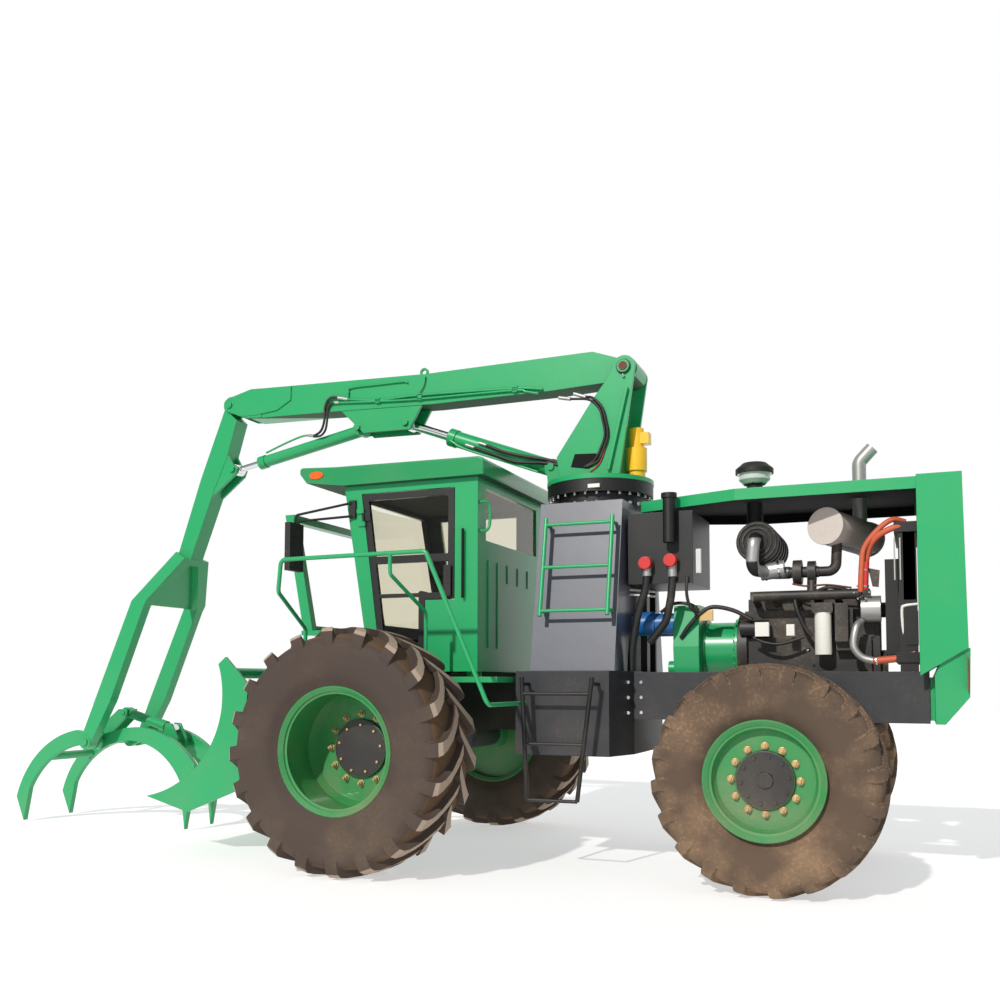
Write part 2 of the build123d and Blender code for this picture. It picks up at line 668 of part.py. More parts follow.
def pane_outline(z0, z1, rear, gap):
    return [(pillar_edge(z1) + DOOR_FRAME + gap, z1 - gap), (rear - gap, z1 - gap),
            (rear - gap, z0 + gap), (pillar_edge(z0) + DOOR_FRAME + gap, z0 + gap)]


door = side_plate(door_outline(DOOR_GAP), -CAB_HALF, -CAB_HALF + DOOR_THICKNESS)
for z0, z1, rear in pane_table:
    door -= side_plate(pane_outline(z0, z1, rear, 0), -CAB_HALF - 1, -CAB_HALF + DOOR_THICKNESS + 1)
keep("cab_door", joined(door, *door_knuckles))
door_glass_y = -CAB_HALF + 12
keep("door_glass", Compound([
    side_plate(pane_outline(z0, z1, rear, SEAT_GAP), door_glass_y, door_glass_y + GLASS_THICKNESS).solid()
    for z0, z1, rear in pane_table]))


# Glass fixed in the cab: the bulged windscreen, the rear and the right window
def cab_glass():
    half = CAB_HALF - PILLAR_WIDTH / 2
    z0, z1 = NOSE_DECK_Z + 20, CAB_ROOF_Z - 70
    slope = (PILLAR_HEAD_X - PILLAR_FOOT_X) / (CAB_ROOF_Z - CAB_FLOOR_Z)
    x0 = PILLAR_FOOT_X + slope * (z0 - CAB_FLOOR_Z) - SEAT_GAP
    outer = ThreePointArc((x0 - GLASS_THICKNESS, -half), (x0 - GLASS_BULGE, 0), (x0 - GLASS_THICKNESS, half))
    inner = ThreePointArc((x0, half), (x0 - GLASS_BULGE + GLASS_THICKNESS, 0), (x0, -half))
    ends = [Line((x0 - GLASS_THICKNESS, half), (x0, half)), Line((x0, -half), (x0 - GLASS_THICKNESS, -half))]
    face = make_face([outer, ends[0], inner, ends[1]])
    screen = extrude(Pos(0, 0, z0) * face, amount=(z1 - z0) * (1 + slope ** 2) ** 0.5, dir=(slope, 0, 1))
    rear = block(CAB_REAR_X - 20, CAB_REAR_X - 20 + GLASS_THICKNESS, -REAR_WINDOW_HALF + SEAT_GAP,
                 REAR_WINDOW_HALF - SEAT_GAP, REAR_WINDOW_Z0 + SEAT_GAP, REAR_WINDOW_Z1 - SEAT_GAP)
    right = side_plate([(-318 + 1, 2870 - SEAT_GAP), (445 - SEAT_GAP, 2870 - SEAT_GAP), (445 - SEAT_GAP, 2040 + SEAT_GAP),
                        (-200 + 1, 2040 + SEAT_GAP)], CAB_HALF - 18, CAB_HALF - 18 + GLASS_THICKNESS)
    return Compound([screen.solid(), rear.solid(), right.solid()])


keep("cab_glass", cab_glass())

# Roof: one moulding with a drooping visor over the windscreen
roof = side_plate([
    (ROOF_REAR_X, CAB_ROOF_Z), (ROOF_REAR_X, ROOF_TOP_Z), (-560, ROOF_TOP_Z + 17), (ROOF_FRONT_X, ROOF_TOP_Z + 34),
    (ROOF_FRONT_X, ROOF_TOP_Z - 20), (-840, CAB_ROOF_Z + 45), (-500, CAB_ROOF_Z)], -ROOF_HALF, ROOF_HALF)
keep("cab_roof", roof)

# Seat and console
seat = joined(block(120, 560, -250, 250, FLOOR_TOP_Z + 204, FLOOR_TOP_Z + 324),
              block(440, 570, -240, 240, FLOOR_TOP_Z + 323, FLOOR_TOP_Z + 884),
              block(200, 500, -160, 160, FLOOR_TOP_Z, FLOOR_TOP_Z + 205))
keep("seat", seat)


def steering_wheel():
    """A ring on three spokes, square to the leaning column."""
    plane = Plane(origin=(10, 0, FLOOR_TOP_Z + 570), z_dir=(17, 0, 35))
    spokes = [plane * Rot(0, 0, 120 * i) * Pos(90, 0, 0) * Box(185, 26, 12) for i in range(3)]
    return [plane * Torus(180, 15), plane * Cylinder(42, 24), *spokes]


console = joined(block(-120, 60, -110, 110, FLOOR_TOP_Z, FLOOR_TOP_Z + 124),
                 rod((-60, 0, FLOOR_TOP_Z + 123), (10, 0, FLOOR_TOP_Z + 564), 35),
                 *steering_wheel())
keep("console", console)


# Windscreen guard: two leaning posts with a bar at the top and at the foot
def front_guard():
    pieces = []
    for side in (-1, 1):
        y0, y1 = sorted((side * (GUARD_Y - 35), side * (GUARD_Y + 35)))
        pieces.append(side_plate([(GUARD_FOOT_X - 40, NOSE_DECK_Z), (GUARD_FOOT_X + 50, NOSE_DECK_Z),
                                  (GUARD_HEAD_X + 50, GUARD_HEAD_Z), (GUARD_HEAD_X - 40, GUARD_HEAD_Z)], y0, y1))
    pieces.append(block(GUARD_HEAD_X - 40, GUARD_HEAD_X + 50, -GUARD_Y, GUARD_Y, GUARD_HEAD_Z - 60, GUARD_HEAD_Z))
    pieces.append(block(GUARD_FOOT_X - 40, GUARD_FOOT_X + 40, -GUARD_Y, GUARD_Y, NOSE_DECK_Z, NOSE_DECK_Z + 40))
    return joined(*pieces)


keep("front_guard", front_guard())

# Mirror: a head on two arms from the left pillar
mirror_face = -CAB_HALF - SEAT_GAP
mirror_arms = [tube_run([(-420, mirror_face - 12, 2828), (-790, -1000, 2706), (-805, -1000, 2600)], 10, 30),
               rod((-410, mirror_face - 12, 2718), (-800, -1000, 2655), 10)]
mirror_root = block(-450, -392, mirror_face - 22, mirror_face, 2700, 2845)
mirror_head = block(-830, -780, -1090, -900, 2257, 2640)
keep("mirror", joined(mirror_root, mirror_head, *mirror_arms))


# Turntable and column: the drum, the table and two tall plates that carry the boom
def column():
    z0 = TOWER_TOP_Z + RING_HEIGHT + SEAT_GAP
    z1 = z0 + DRUM_HEIGHT
    table = z1 + TABLE_HEIGHT
    pieces = [rod((SLEW_X, 0, z0), (SLEW_X, 0, z1), DRUM_RADIUS), rod((SLEW_X, 0, z1 - 1), (SLEW_X, 0, table), DRUM_RADIUS + 5)]
    px, pz = COLUMN_PIVOT
    plate = [(1178, table - 1), (1665, table - 1), (px + 92, pz), (px - 92, pz), (1551, 3750), (1449, 3621), (1148, 3179)]
    for y0 in (-COLUMN_HALF, COLUMN_HALF - COLUMN_PLATE):
        wall = side_plate(plate, y0, y0 + COLUMN_PLATE)
        pieces += [wall, cross_rod(COLUMN_PIVOT, y0, y0 + COLUMN_PLATE, 92)]
    inner = COLUMN_HALF - COLUMN_PLATE + 1
    pieces.append(side_plate([(1210, table - 1), (1240, table - 1), (1240, 3180), (1450, 3490), (1425, 3510), (1210, 3200)],
                             -inner, inner))
    pieces.append(side_plate([(1575, table - 1), (1605, table - 1), (1660, 3560), (1630, 3560)], -inner, inner))
    fx, fz = LIFT_FOOT
    clevis = LIFT_BARREL + CLEVIS_GAP
    for y0 in (-clevis - LUG_PLATE, clevis):
        lug = side_plate([(fx - 25, table - 1), (1220, table - 1), (1215, 3120), (fx + 40, fz + 50), (fx - 40, fz + 20)],
                         y0, y0 + LUG_PLATE)
        pieces += [lug, cross_rod(LIFT_FOOT, y0, y0 + LUG_PLATE, 55)]
    pieces.append(cross_rod(LIFT_FOOT, -clevis - LUG_PLATE - 15, clevis + LUG_PLATE + 15, CRANE_PIN - 8))
    pieces.append(cross_rod(COLUMN_PIVOT, -COLUMN_HALF - 20, COLUMN_HALF + 20, CRANE_PIN))
    return joined(*pieces)


keep("column", column())

# Slew motor behind the column
table_z = TOWER_TOP_Z + RING_HEIGHT + SEAT_GAP + DRUM_HEIGHT + TABLE_HEIGHT
motor_table = [
    # height from, height to, radius
    (0, 75, 70),
    (74, 260, 84),
    (259, 420, 60),
]
motor = [rod((MOTOR_X, 0, table_z + z0), (MOTOR_X, 0, table_z + z1), radius) for z0, z1, radius in motor_table]
keep("slew_motor", joined(*motor, block(MOTOR_X + 20, MOTOR_X + 110, -45, 45, table_z + 290, table_z + 380)))


# Boom: a box beam, its cylinder bracket and the cheeks that hold the stick
def boom():
    px, pz = COLUMN_PIVOT
    sx, sz = STICK_PIVOT
    beam = [(px - 40, pz + 95), (1422, 4042), (-74, 4034), (-1899, 4099), (-1960, 4075), (-1960, 3850), (-1899, 3822),
            (-1080, 3799), (-10, 3762), (1050, 3759), (1530, 3774), (px, pz - 92)]
    pieces = [side_plate(beam, -BOOM_HALF, BOOM_HALF), cross_rod(COLUMN_PIVOT, -BOOM_HALF - 40, BOOM_HALF + 40, 95)]
    cheek = [(-1780, 4094), (-1899, 4099), (sx - 10, sz + BOSS_RADIUS), (sx - BOSS_RADIUS, sz), (sx - 20, sz - BOSS_RADIUS),
             (-1980, 3835), (-1780, 3820)]
    for y0 in (-BOOM_HALF - 6, BOOM_HALF + 6 - 20):
        pieces += [side_plate(cheek, y0, y0 + 20), cross_rod(STICK_PIVOT, y0, y0 + 20, BOSS_RADIUS)]
    pieces.append(cross_rod(STICK_PIVOT, -BOOM_HALF - 22, BOOM_HALF + 22, CRANE_PIN - 4))
    for y0 in (-BOOM_HALF + 5, BOOM_HALF - 5 - LUG_PLATE):
        pieces.append(side_plate([(-922, 3790), (-700, 3575), (-240, 3565), (-120, 3775), (-120, 3800), (-922, 3815)],
                                 y0, y0 + LUG_PLATE))
    pieces.append(cross_rod(DIPPER_FOOT, -BOOM_HALF - 15, BOOM_HALF + 15, CRANE_PIN - 8))
    for side in (-1, 1):
        y0, y1 = sorted((side * (BOOM_HALF - 8), side * (BOOM_HALF + 15)))
        pieces.append(cross_rod(LIFT_EYE, y0, y1, CRANE_PIN - 8))
    body = joined(*pieces)
    body -= cross_rod(COLUMN_PIVOT, -BOOM_HALF - 50, BOOM_HALF + 50, CRANE_PIN + PIN_GAP)
    foot = rod((LIFTING_EYE[0], 0, 4030), (LIFTING_EYE[0], 0, 4058), 20)
    return joined(body, foot, cross_ring(LIFTING_EYE, -9, 9, 40, 21))


keep("boom", boom())


# Stick: a box that hangs from the boom and forks into two bent legs round the grab
def stick():
    arm = [(-2215, 3950), (-2480, 3300), (-2729, 2592), (-2589, 2519), (-2326, 3181), (-2190, 3472), (-2080, 3830)]
    pieces = [side_plate(arm, -STICK_HALF, STICK_HALF)]
    pieces.append(cross_rod(STICK_PIVOT, -STICK_HALF - 4, STICK_HALF + 4, BOSS_RADIUS + 20))
    ex, ez = DIPPER_EYE
    lug = [(-2180, 3520), (ex - 10, ez + 60), (ex + 55, ez + 10), (ex + 30, ez - 55), (-2350, 3120), (-2300, 3300)]
    for y0 in (-STICK_HALF + 3, STICK_HALF - 3 - LUG_PLATE):
        pieces.append(side_plate(lug, y0, y0 + LUG_PLATE))
    for side in (-1, 1):
        y0, y1 = sorted((side * (STICK_HALF - 8), side * (STICK_HALF + 17)))
        pieces.append(cross_rod(DIPPER_EYE, y0, y1, CRANE_PIN - 8))
    inner = FORK_HALF - FORK_LEG
    flare_side = [(-2720, 2610), (-2993, 2105), (-2848, 2053), (-2579, 2537)]
    flare_front = [(-100, 2660), (-FORK_HALF, 2130), (-FORK_HALF, 2040), (-inner, 2040), (-inner, 2085), (-60, 2480),
                   (60, 2480), (inner, 2085), (inner, 2040), (FORK_HALF, 2040), (FORK_HALF, 2130), (100, 2660)]
    pieces.append(side_plate(flare_side, -FORK_HALF, FORK_HALF) & cross_plate(flare_front, -3100, -2400))
    web_side = [(-2665, 2560), (-2925, 2090), (-2905, 2080), (-2645, 2550)]
    web_front = [(-90, 2600), (-inner - 10, 2095), (inner + 10, 2095), (90, 2600)]
    pieces.append(side_plate(web_side, -FORK_HALF, FORK_HALF) & cross_plate(web_front, -3100, -2400))
    gx, gz = GRAB_PIVOT
    leg = [(-2984, 2122), (-3480, 1002), (gx - 60, gz + 20), (gx + 60, gz - 20), (-3212, 1184), (-2839, 2071)]
    for y0 in (-FORK_HALF, inner):
        pieces += [side_plate(leg, y0, y0 + FORK_LEG), cross_rod(GRAB_PIVOT, y0 - 5, y0 + FORK_LEG + 5, 66)]
    pieces.append(cross_rod(GRAB_PIVOT, -FORK_HALF - 18, FORK_HALF + 18, CRANE_PIN - 3))
    return joined(*pieces) - cross_rod(STICK_PIVOT, -STICK_HALF - 10, STICK_HALF + 10, CRANE_PIN - 4 + PIN_GAP)


keep("stick", stick())


# Cylinders: a barrel with its foot eye, and a rod with its own eye
def cylinder(foot, eye, length, radius, rod_radius, pin, width, inside, y=0):
    """A barrel and its rod: the barrel's length, the eyes' half width and how deep the rod starts."""
    def at(distance):
        x, z = along(foot, eye, distance)
        return (x, y, z)

    barrel = joined(rod(at(0), at(length), radius), rod(at(length - 70), at(length), radius + 8),
                    cross_rod(foot, y - width, y + width, radius + 6))
    barrel -= rod(at(radius + 10), at(length + 5), rod_radius + PIN_GAP)
    barrel -= cross_rod(foot, y - radius - 5, y + radius + 5, pin + PIN_GAP)
    shaft = joined(rod(at(inside), (eye[0], y, eye[1]), rod_radius), cross_rod(eye, y - width, y + width, pin + 24))
    shaft -= cross_rod(eye, y - width - 5, y + width + 5, pin + PIN_GAP)
    return barrel, shaft


cylinder_table = [
    # name, foot, eye, barrel length, barrel radius, rod radius, pin, half width, rod start
    ("lift", LIFT_FOOT, LIFT_EYE, 1015, LIFT_BARREL, LIFT_ROD, CRANE_PIN - 8, 54, 330),
    ("dipper", DIPPER_FOOT, DIPPER_EYE, 1120, DIPPER_BARREL, DIPPER_ROD, CRANE_PIN - 8, 50, 460),
    ("grab", GRAB_FOOT, GRAB_EYE, 492, GRAB_BARREL, GRAB_ROD, 22, 40, 75),
]
for name, foot, eye, length, radius, rod_radius, pin, width, inside in cylinder_table:
    barrel, shaft = cylinder(foot, eye, length, radius, rod_radius, pin, width, inside)
    keep(name + "_barrel", barrel)
    keep(name + "_rod", shaft)
piler_cylinders = [cylinder(PILER_FOOT, PILER_EYE, 430, PILER_BARREL, PILER_ROD, PILER_PIN, 34, 290, side * PILER_CYLINDER_Y)
                   for side in (-1, 1)]
keep("piler_barrels", Compound([barrel.solid() for barrel, shaft in piler_cylinders]))
keep("piler_rods", Compound([shaft.solid() for barrel, shaft in piler_cylinders]))


# Grab: two pairs of curved tines that swing on the fork's pin
def tine_pair(profile, y, hub_reach, ties, extra):
    pieces = []
    for side in (-1, 1):
        y0, y1 = sorted((side * (y - TINE_PLATE / 2), side * (y + TINE_PLATE / 2)))
        plate = profile_plate(profile, y0, y1)
        pieces += [plate, cross_rod(GRAB_PIVOT, y0, y1, 72)]
    for centre, radius in ties:
        pieces.append(cross_rod(centre, -y, y, radius))
    pieces += extra
    body = joined(*pieces)
    return body - cross_rod(GRAB_PIVOT, -hub_reach, hub_reach, CRANE_PIN - 3 + PIN_GAP)


front_profile = make_face([
    Line((-3490, 870), (-3720, 905)), ThreePointArc((-3720, 905), (-4180, 690), (-4465, 240)),
    Line((-4465, 240), (-4365, 12)), Line((-4365, 12), (-4300, 330)), ThreePointArc((-4300, 330), (-4060, 610), (-3690, 760)),
    Line((-3690, 760), (-3490, 730)), Line((-3490, 730), (-3490, 870))])
fx, fz = GRAB_FOOT
clevis = GRAB_BARREL + CLEVIS_GAP
front_lever = [side_plate([(-3700, 890), (fx - 60, fz + 35), (fx + 45, fz + 35), (fx + 45, fz - 40), (-3590, 800)], y0, y0 + 20)
               for y0 in (-clevis - 20, clevis)]
front_lever += [cross_rod((-3640, 850), -FRONT_TINE_Y, FRONT_TINE_Y, 42), cross_rod(GRAB_FOOT, -clevis - 30, clevis + 30, 22)]
keep("grab_front", tine_pair(front_profile, FRONT_TINE_Y, 400, [((-4090, 640), 40)], front_lever))
rear_profile = make_face([
    Line((-3510, 860), (-3330, 905)), ThreePointArc((-3330, 905), (-2840, 905), (-2385, 600)),
    Line((-2385, 600), (-2490, 12)), Line((-2490, 12), (-2545, 430)), ThreePointArc((-2545, 430), (-2900, 760), (-3320, 790)),
    Line((-3320, 790), (-3510, 735)), Line((-3510, 735), (-3510, 860))])
ex, ez = GRAB_EYE
rear_lug = [side_plate([(ex - 20, 750), (ex - 48, ez), (ex - 30, ez + 60), (ex + 40, ez + 55), (ex + 110, 840), (ex + 110, 735)],
                       y0, y0 + 20) for y0 in (-clevis - 20, clevis)]
rear_lug += [cross_rod((ex + 50, 775), -REAR_TINE_Y, REAR_TINE_Y, 38)]
keep("grab_rear", tine_pair(rear_profile, REAR_TINE_Y, 400, [], rear_lug))


# Push piler: two hooked side plates, the curved blade between them, the top tube and the arms
def piler():
    hook = make_face([
        Line((-1259, 1568), (-1326, 1512)), ThreePointArc((-1326, 1512), (-1298, 1109), (-1467, 760)),
        ThreePointArc((-1467, 760), (-1710, 560), (-2021, 447)), Line((-2021, 447), (-1606, 337)),
        Line((-1606, 337), (-1128, 525)), Line((-1128, 525), (-1090, 690)), Line((-1090, 690), (-1040, 1351)),
        Line((-1040, 1351), (-1259, 1568))])
    pieces = []
    for side in (-1, 1):
        y0, y1 = sorted((side * (PILER_HALF - PILER_PLATE), side * PILER_HALF))
        pieces.append(profile_plate(hook, y0, y1))
    blade = make_face([
        ThreePointArc((-1290, 1150), (-1330, 930), (-1455, 745)), ThreePointArc((-1455, 745), (-1700, 548), (-1970, 445)),
        Line((-1970, 445), (-1945, 419)), ThreePointArc((-1945, 419), (-1690, 520), (-1430, 725)),
        ThreePointArc((-1430, 725), (-1300, 920), (-1262, 1150)), Line((-1262, 1150), (-1290, 1150))])
    reach = PILER_HALF - PILER_PLATE + 1
    pieces.append(profile_plate(blade, -reach, reach))
    pieces.append(cross_rod((-1185, 1440), -reach, reach, 42))
    pieces.append(cross_rod((-1215, 670), -reach, reach, 50))
    px, pz = PILER_PIVOT
    for side in (-1, 1):
        y0, y1 = sorted((side * (PILER_ARM_Y - 25), side * (PILER_ARM_Y + 25)))
        arm = side_plate([(-1330, 940), (-1420, 700), (-1200, 600), (px + 10, pz - 60), (px + 10, pz + 60), (-1180, 790)], y0, y1)
        pieces += [arm, cross_rod(PILER_PIVOT, y0, y1, 62)]
    ex, ez = PILER_EYE
    for y in (-PILER_CYLINDER_Y, PILER_CYLINDER_Y):
        for y0 in (y - 34 - CLEVIS_GAP - 20, y + 34 + CLEVIS_GAP):
            pieces.append(side_plate([(ex - 50, 700), (ex - 45, ez + 45), (ex + 45, ez + 45), (ex + 85, 700)], y0, y0 + 20))
    return joined(*pieces) - cross_rod(PILER_PIVOT, -PILER_ARM_Y - 30, PILER_ARM_Y + 30, PILER_PIN + PIN_GAP)


keep("piler", piler())

# Rear body: hood, side panels with a grille between them, bumper
hood_plan = [(HOOD_X0, -HOOD_NOSE_HALF), (HOOD_TAPER_X, -HOOD_HALF), (HOOD_X1, -HOOD_HALF), (HOOD_X1, HOOD_HALF),
             (HOOD_TAPER_X, HOOD_HALF), (HOOD_X0, HOOD_NOSE_HALF)]
hood_inner = [(HOOD_X0 + SHEET, -HOOD_NOSE_HALF + SHEET), (HOOD_TAPER_X, -HOOD_HALF + SHEET), (HOOD_X1 - SHEET, -HOOD_HALF + SHEET),
              (HOOD_X1 - SHEET, HOOD_HALF - SHEET), (HOOD_TAPER_X, HOOD_HALF - SHEET), (HOOD_X0 + SHEET, HOOD_NOSE_HALF - SHEET)]
hood = plan_plate(hood_plan, HOOD_TOP_Z - HOOD_FLANGE, HOOD_TOP_Z) - plan_plate(hood_inner, HOOD_TOP_Z - HOOD_FLANGE - 1, HOOD_TOP_Z - SHEET)
for y in (-200, 200):
    hood = joined(hood, block(HOOD_X0 + 8, HOOD_X0 + 48, y - 20, y + 20, TANK_Z1, HOOD_TOP_Z - SHEET))
for x, y, radius in ((AIR_CLEANER[0] - 75, 0, SNORKEL_RADIUS), (STACK_X, 90, STACK_RADIUS)):
    hood -= rod((x, y, HOOD_TOP_Z - HOOD_FLANGE), (x, y, HOOD_TOP_Z + 1), radius + RUNNING_GAP)
keep("hood", hood)


def rear_body():
    panel = [(HOOD_X1, PANEL_Z0 + 2), (HOOD_X1, PANEL_TOP_Z), (PANEL_X1, PANEL_TOP_Z), (PANEL_X1 + 14, 1600)]
    pieces = []
    for y in (-HOOD_HALF, HOOD_HALF - 30):
        pieces.append(side_plate(panel, y, y + 30))
    inner = HOOD_HALF - 29
    pieces.append(block(HOOD_X1, PANEL_X1, -inner, inner, PANEL_TOP_Z - 30, PANEL_TOP_Z))
    pieces.append(block(PANEL_X1 - 40, PANEL_X1, -inner, inner, 1640, PANEL_TOP_Z - 29))
    pieces.append(side_plate([(3900, 1100), (3960, 1100), (BUMPER_X1 - 10, 1280), (BUMPER_X1, 1600), (3980, 1600), (3900, 1420)], -inner, inner))
    pieces.append(side_plate([(REAR_RAIL_END + SEAT_GAP, 1120), (3961, 1120), (3961, 1410), (REAR_RAIL_END + SEAT_GAP, 1410)], -430, 430))
    return joined(*pieces)


keep("rear_body", rear_body())

# Radiator on the rear cross member, under the hood, with the fan's shroud in front of it
shroud = block(SHROUD_X0, RADIATOR_X0 + 1, -FAN_RADIUS - 40, FAN_RADIUS + 40, FAN_Z - FAN_RADIUS - 40, FAN_Z + FAN_RADIUS + 40)
shroud -= rod((SHROUD_X0 - 1, 0, FAN_Z), (RADIATOR_X0, 0, FAN_Z), FAN_RADIUS + FAN_GAP)
radiator = [block(RADIATOR_X0, RADIATOR_X1, -RADIATOR_HALF, RADIATOR_HALF, REAR_RAIL_Z1 + SEAT_GAP, RADIATOR_Z1), shroud]
for z in (RADIATOR_Z0 - 30, RADIATOR_Z1 - 60):
    radiator.append(block(RADIATOR_X0 - 25, RADIATOR_X1 + 5, -RADIATOR_HALF - 12, RADIATOR_HALF + 12, z, z + 70))
keep("radiator", joined(*radiator))

engine_blocks = [
    # x from, x to, half width, z from, z to: sump, crankcase, block, head, gear cover
    (ENGINE_X0 + 60, ENGINE_X1 - 50, 170, 1180, 1341),
    (ENGINE_X0, ENGINE_X1, CRANKCASE_HALF, 1340, 1700),
    (ENGINE_X0 - 20, ENGINE_X1 + 20, BLOCK_HALF, 1699, HEAD_Z0 + 1),
    (ENGINE_X0, ENGINE_X1, HEAD_HALF, HEAD_Z0, HEAD_Z1),
    (ENGINE_X1 - 1, ENGINE_X1 + 55, BLOCK_HALF - 10, 1390, 1930),
]
engine_rounds = [
    # x from, x to, y, z, radius: flywheel housing, pulley, fan hub, starter, alternator, far side pump
    (2569, ENGINE_X0 + 1, 0, 1620, 280),
    (ENGINE_X1 + 54, ENGINE_X1 + 100, 0, CRANK_Z, 110),
    (ENGINE_X1 + 54, SHROUD_X0 + 62, 0, FAN_Z, 55),
    (2600, 2800, -262, 1770, 60),
    (ENGINE_X1 - 60, ENGINE_X1 + 70, -285, 1890, 92),
    (2800, 3000, 262, 1700, 70),
]


# Engine: a six-cylinder in line, from its castings, with what hangs on its sides
def engine():
    pieces = [block(x0, x1, -half, half, z0, z1) for x0, x1, half, z0, z1 in engine_blocks]
    pieces += [rod((x0, y, z), (x1, y, z), radius) for x0, x1, y, z, radius in engine_rounds]
    pitch = (ENGINE_X1 - ENGINE_X0) / VALVE_COVERS
    for i in range(VALVE_COVERS):
        x = ENGINE_X0 + pitch * (i + 0.5)
        pieces.append(block(x - pitch * 0.43, x + pitch * 0.43, -HEAD_HALF + 20, HEAD_HALF - 20,
                            HEAD_Z1 - 1, HEAD_Z1 + VALVE_COVER_HEIGHT))
        pieces.append(rod((x, -HEAD_HALF + 1, HEAD_Z1 - 40), (x, MANIFOLD_Y, MANIFOLD_Z - 6), MANIFOLD_RADIUS - 10))
        pieces.append(rod((x, HEAD_HALF - 1, HEAD_Z1 - 40), (x, HEAD_HALF + 90, HEAD_Z1 - 40), MANIFOLD_RADIUS - 8))
    pieces.append(rod((ENGINE_X0 + 70, MANIFOLD_Y, MANIFOLD_Z), (ENGINE_X1 - 70, MANIFOLD_Y, MANIFOLD_Z), MANIFOLD_RADIUS))
    pieces.append(rod((ENGINE_X0 + 50, HEAD_HALF + 90, HEAD_Z1 - 40), (ENGINE_X1 - 50, HEAD_HALF + 90, HEAD_Z1 - 40), 42))
    tx, ty, tz = TURBO
    pieces.append(rod((tx - 75, ty, tz), (tx - 15, ty, tz), 88))
    pieces.append(rod((tx - 100, ty, tz), (tx + 100, ty, tz), 40))
    pieces.append(rod((tx + 25, ty, tz), (tx + 80, ty, tz), 78))
    pieces.append(rod((tx + 52, ty, tz - 20), (tx + 52, MANIFOLD_Y + 6, MANIFOLD_Z + 4), 33))
    fx, fy = FILTER
    pieces.append(block(fx - 70, fx + 70, fy - FILTER_RADIUS, -BLOCK_HALF + 1, 1868, 1935))
    pieces.append(rod((fx, fy, 1570), (fx, fy, 1869), FILTER_RADIUS))
    pieces.append(block(fx + 85, fx + 200, -CRANKCASE_HALF - 90, -BLOCK_HALF + 1, 1600, 1890))
    for side in (-1, 1):
        for x in (ENGINE_X0 + 80, ENGINE_X1 - 140):
            y0, y1 = sorted((side * (CRANKCASE_HALF - 1), side * (REAR_RAIL_HALF - REAR_RAIL_WALL)))
            pieces.append(block(x, x + 60, y0, y1, MOUNT_Z, MOUNT_Z + 60))
    for i in range(FAN_BLADES):
        blade = Rot(0, 0, 30) * Box(8, 95, FAN_RADIUS - 45, align=(Align.CENTER, Align.CENTER, Align.MIN))
        pieces.append(Pos(SHROUD_X0 + 40, 0, FAN_Z) * Rot(360 / FAN_BLADES * i, 0, 0) * Pos(0, 0, 45) * blade)
    return joined(*pieces)


keep("engine", engine())

drive_rounds = [
    # x from, x to, y, z, radius: bell housing and its flanges, upper pumps, lower pump
    (2300, 2569 - SEAT_GAP, 0, DRIVE_Z, DRIVE_RADIUS),
    (2300, 2322, 0, DRIVE_Z, DRIVE_RADIUS + 22),
    (2545, 2569 - SEAT_GAP, 0, DRIVE_Z, DRIVE_RADIUS + 30),
    (1960, 2111, -230, 1820, 78),
    (1800, 1961, -230, 1820, 92),
    (1850, 2111, 60, 1820, 85),
    (2060, 2111, -230, 1480, 55),
]


# Pump drive: the bell housing on the engine, the splitter box and the pumps on it
def pump_drive():
    pieces = [rod((x0, y, z), (x1, y, z), radius) for x0, x1, y, z, radius in drive_rounds]
    pieces.append(cross_plate([(-330, 1640), (-290, 1950), (110, 1950), (170, 1640), (60, 1400), (-300, 1400)], 2110, 2301))
    pieces.append(block(1780, 1850, -300, -160, 1770, 1880))
    return joined(*pieces)


keep("pump_drive", pump_drive())


# Air cleaner across the bay, with its duct to the turbo, and the snorkel's bowl above the hood
def air_cleaner():
    y0, y1 = AIR_CLEANER_Y
    x, z = AIR_CLEANER
    pieces = [cross_rod(AIR_CLEANER, y0, y1, AIR_CLEANER_RADIUS - 8)]
    for i in range(6):
        pieces.append(cross_rod(AIR_CLEANER, y0 + 120 * i, y0 + 120 * i + 30, AIR_CLEANER_RADIUS))
    tx, ty, tz = TURBO
    duct = tube_run([(x, y0 + 40, z + 20), (x - 5, y0 - 110, z + 20), (x - 25, y0 - 110, tz + 5),
                     (tx - 210, ty, tz), (tx - 100 - SEAT_GAP, ty, tz)], 44, 70)
    pieces.append(duct)
    sx = x - 75
    pieces.append(rod((sx, 0, z), (sx, 0, SNORKEL_Z0 + 20), SNORKEL_RADIUS))
    snorkel = [(0, SNORKEL_Z0), (80, SNORKEL_Z0), (118, SNORKEL_Z0 + 35), (118, SNORKEL_Z0 + 80), (142, SNORKEL_Z0 + 84),
               (142, SNORKEL_Z0 + 120), (90, SNORKEL_Z0 + 165), (0, SNORKEL_Z0 + 175)]
    pieces.append(Pos(sx, 0, 0) * revolve(Plane.XZ * outline(snorkel), axis=Axis.Z, revolution_arc=360))
    return joined(*pieces)


keep("air_cleaner", air_cleaner())


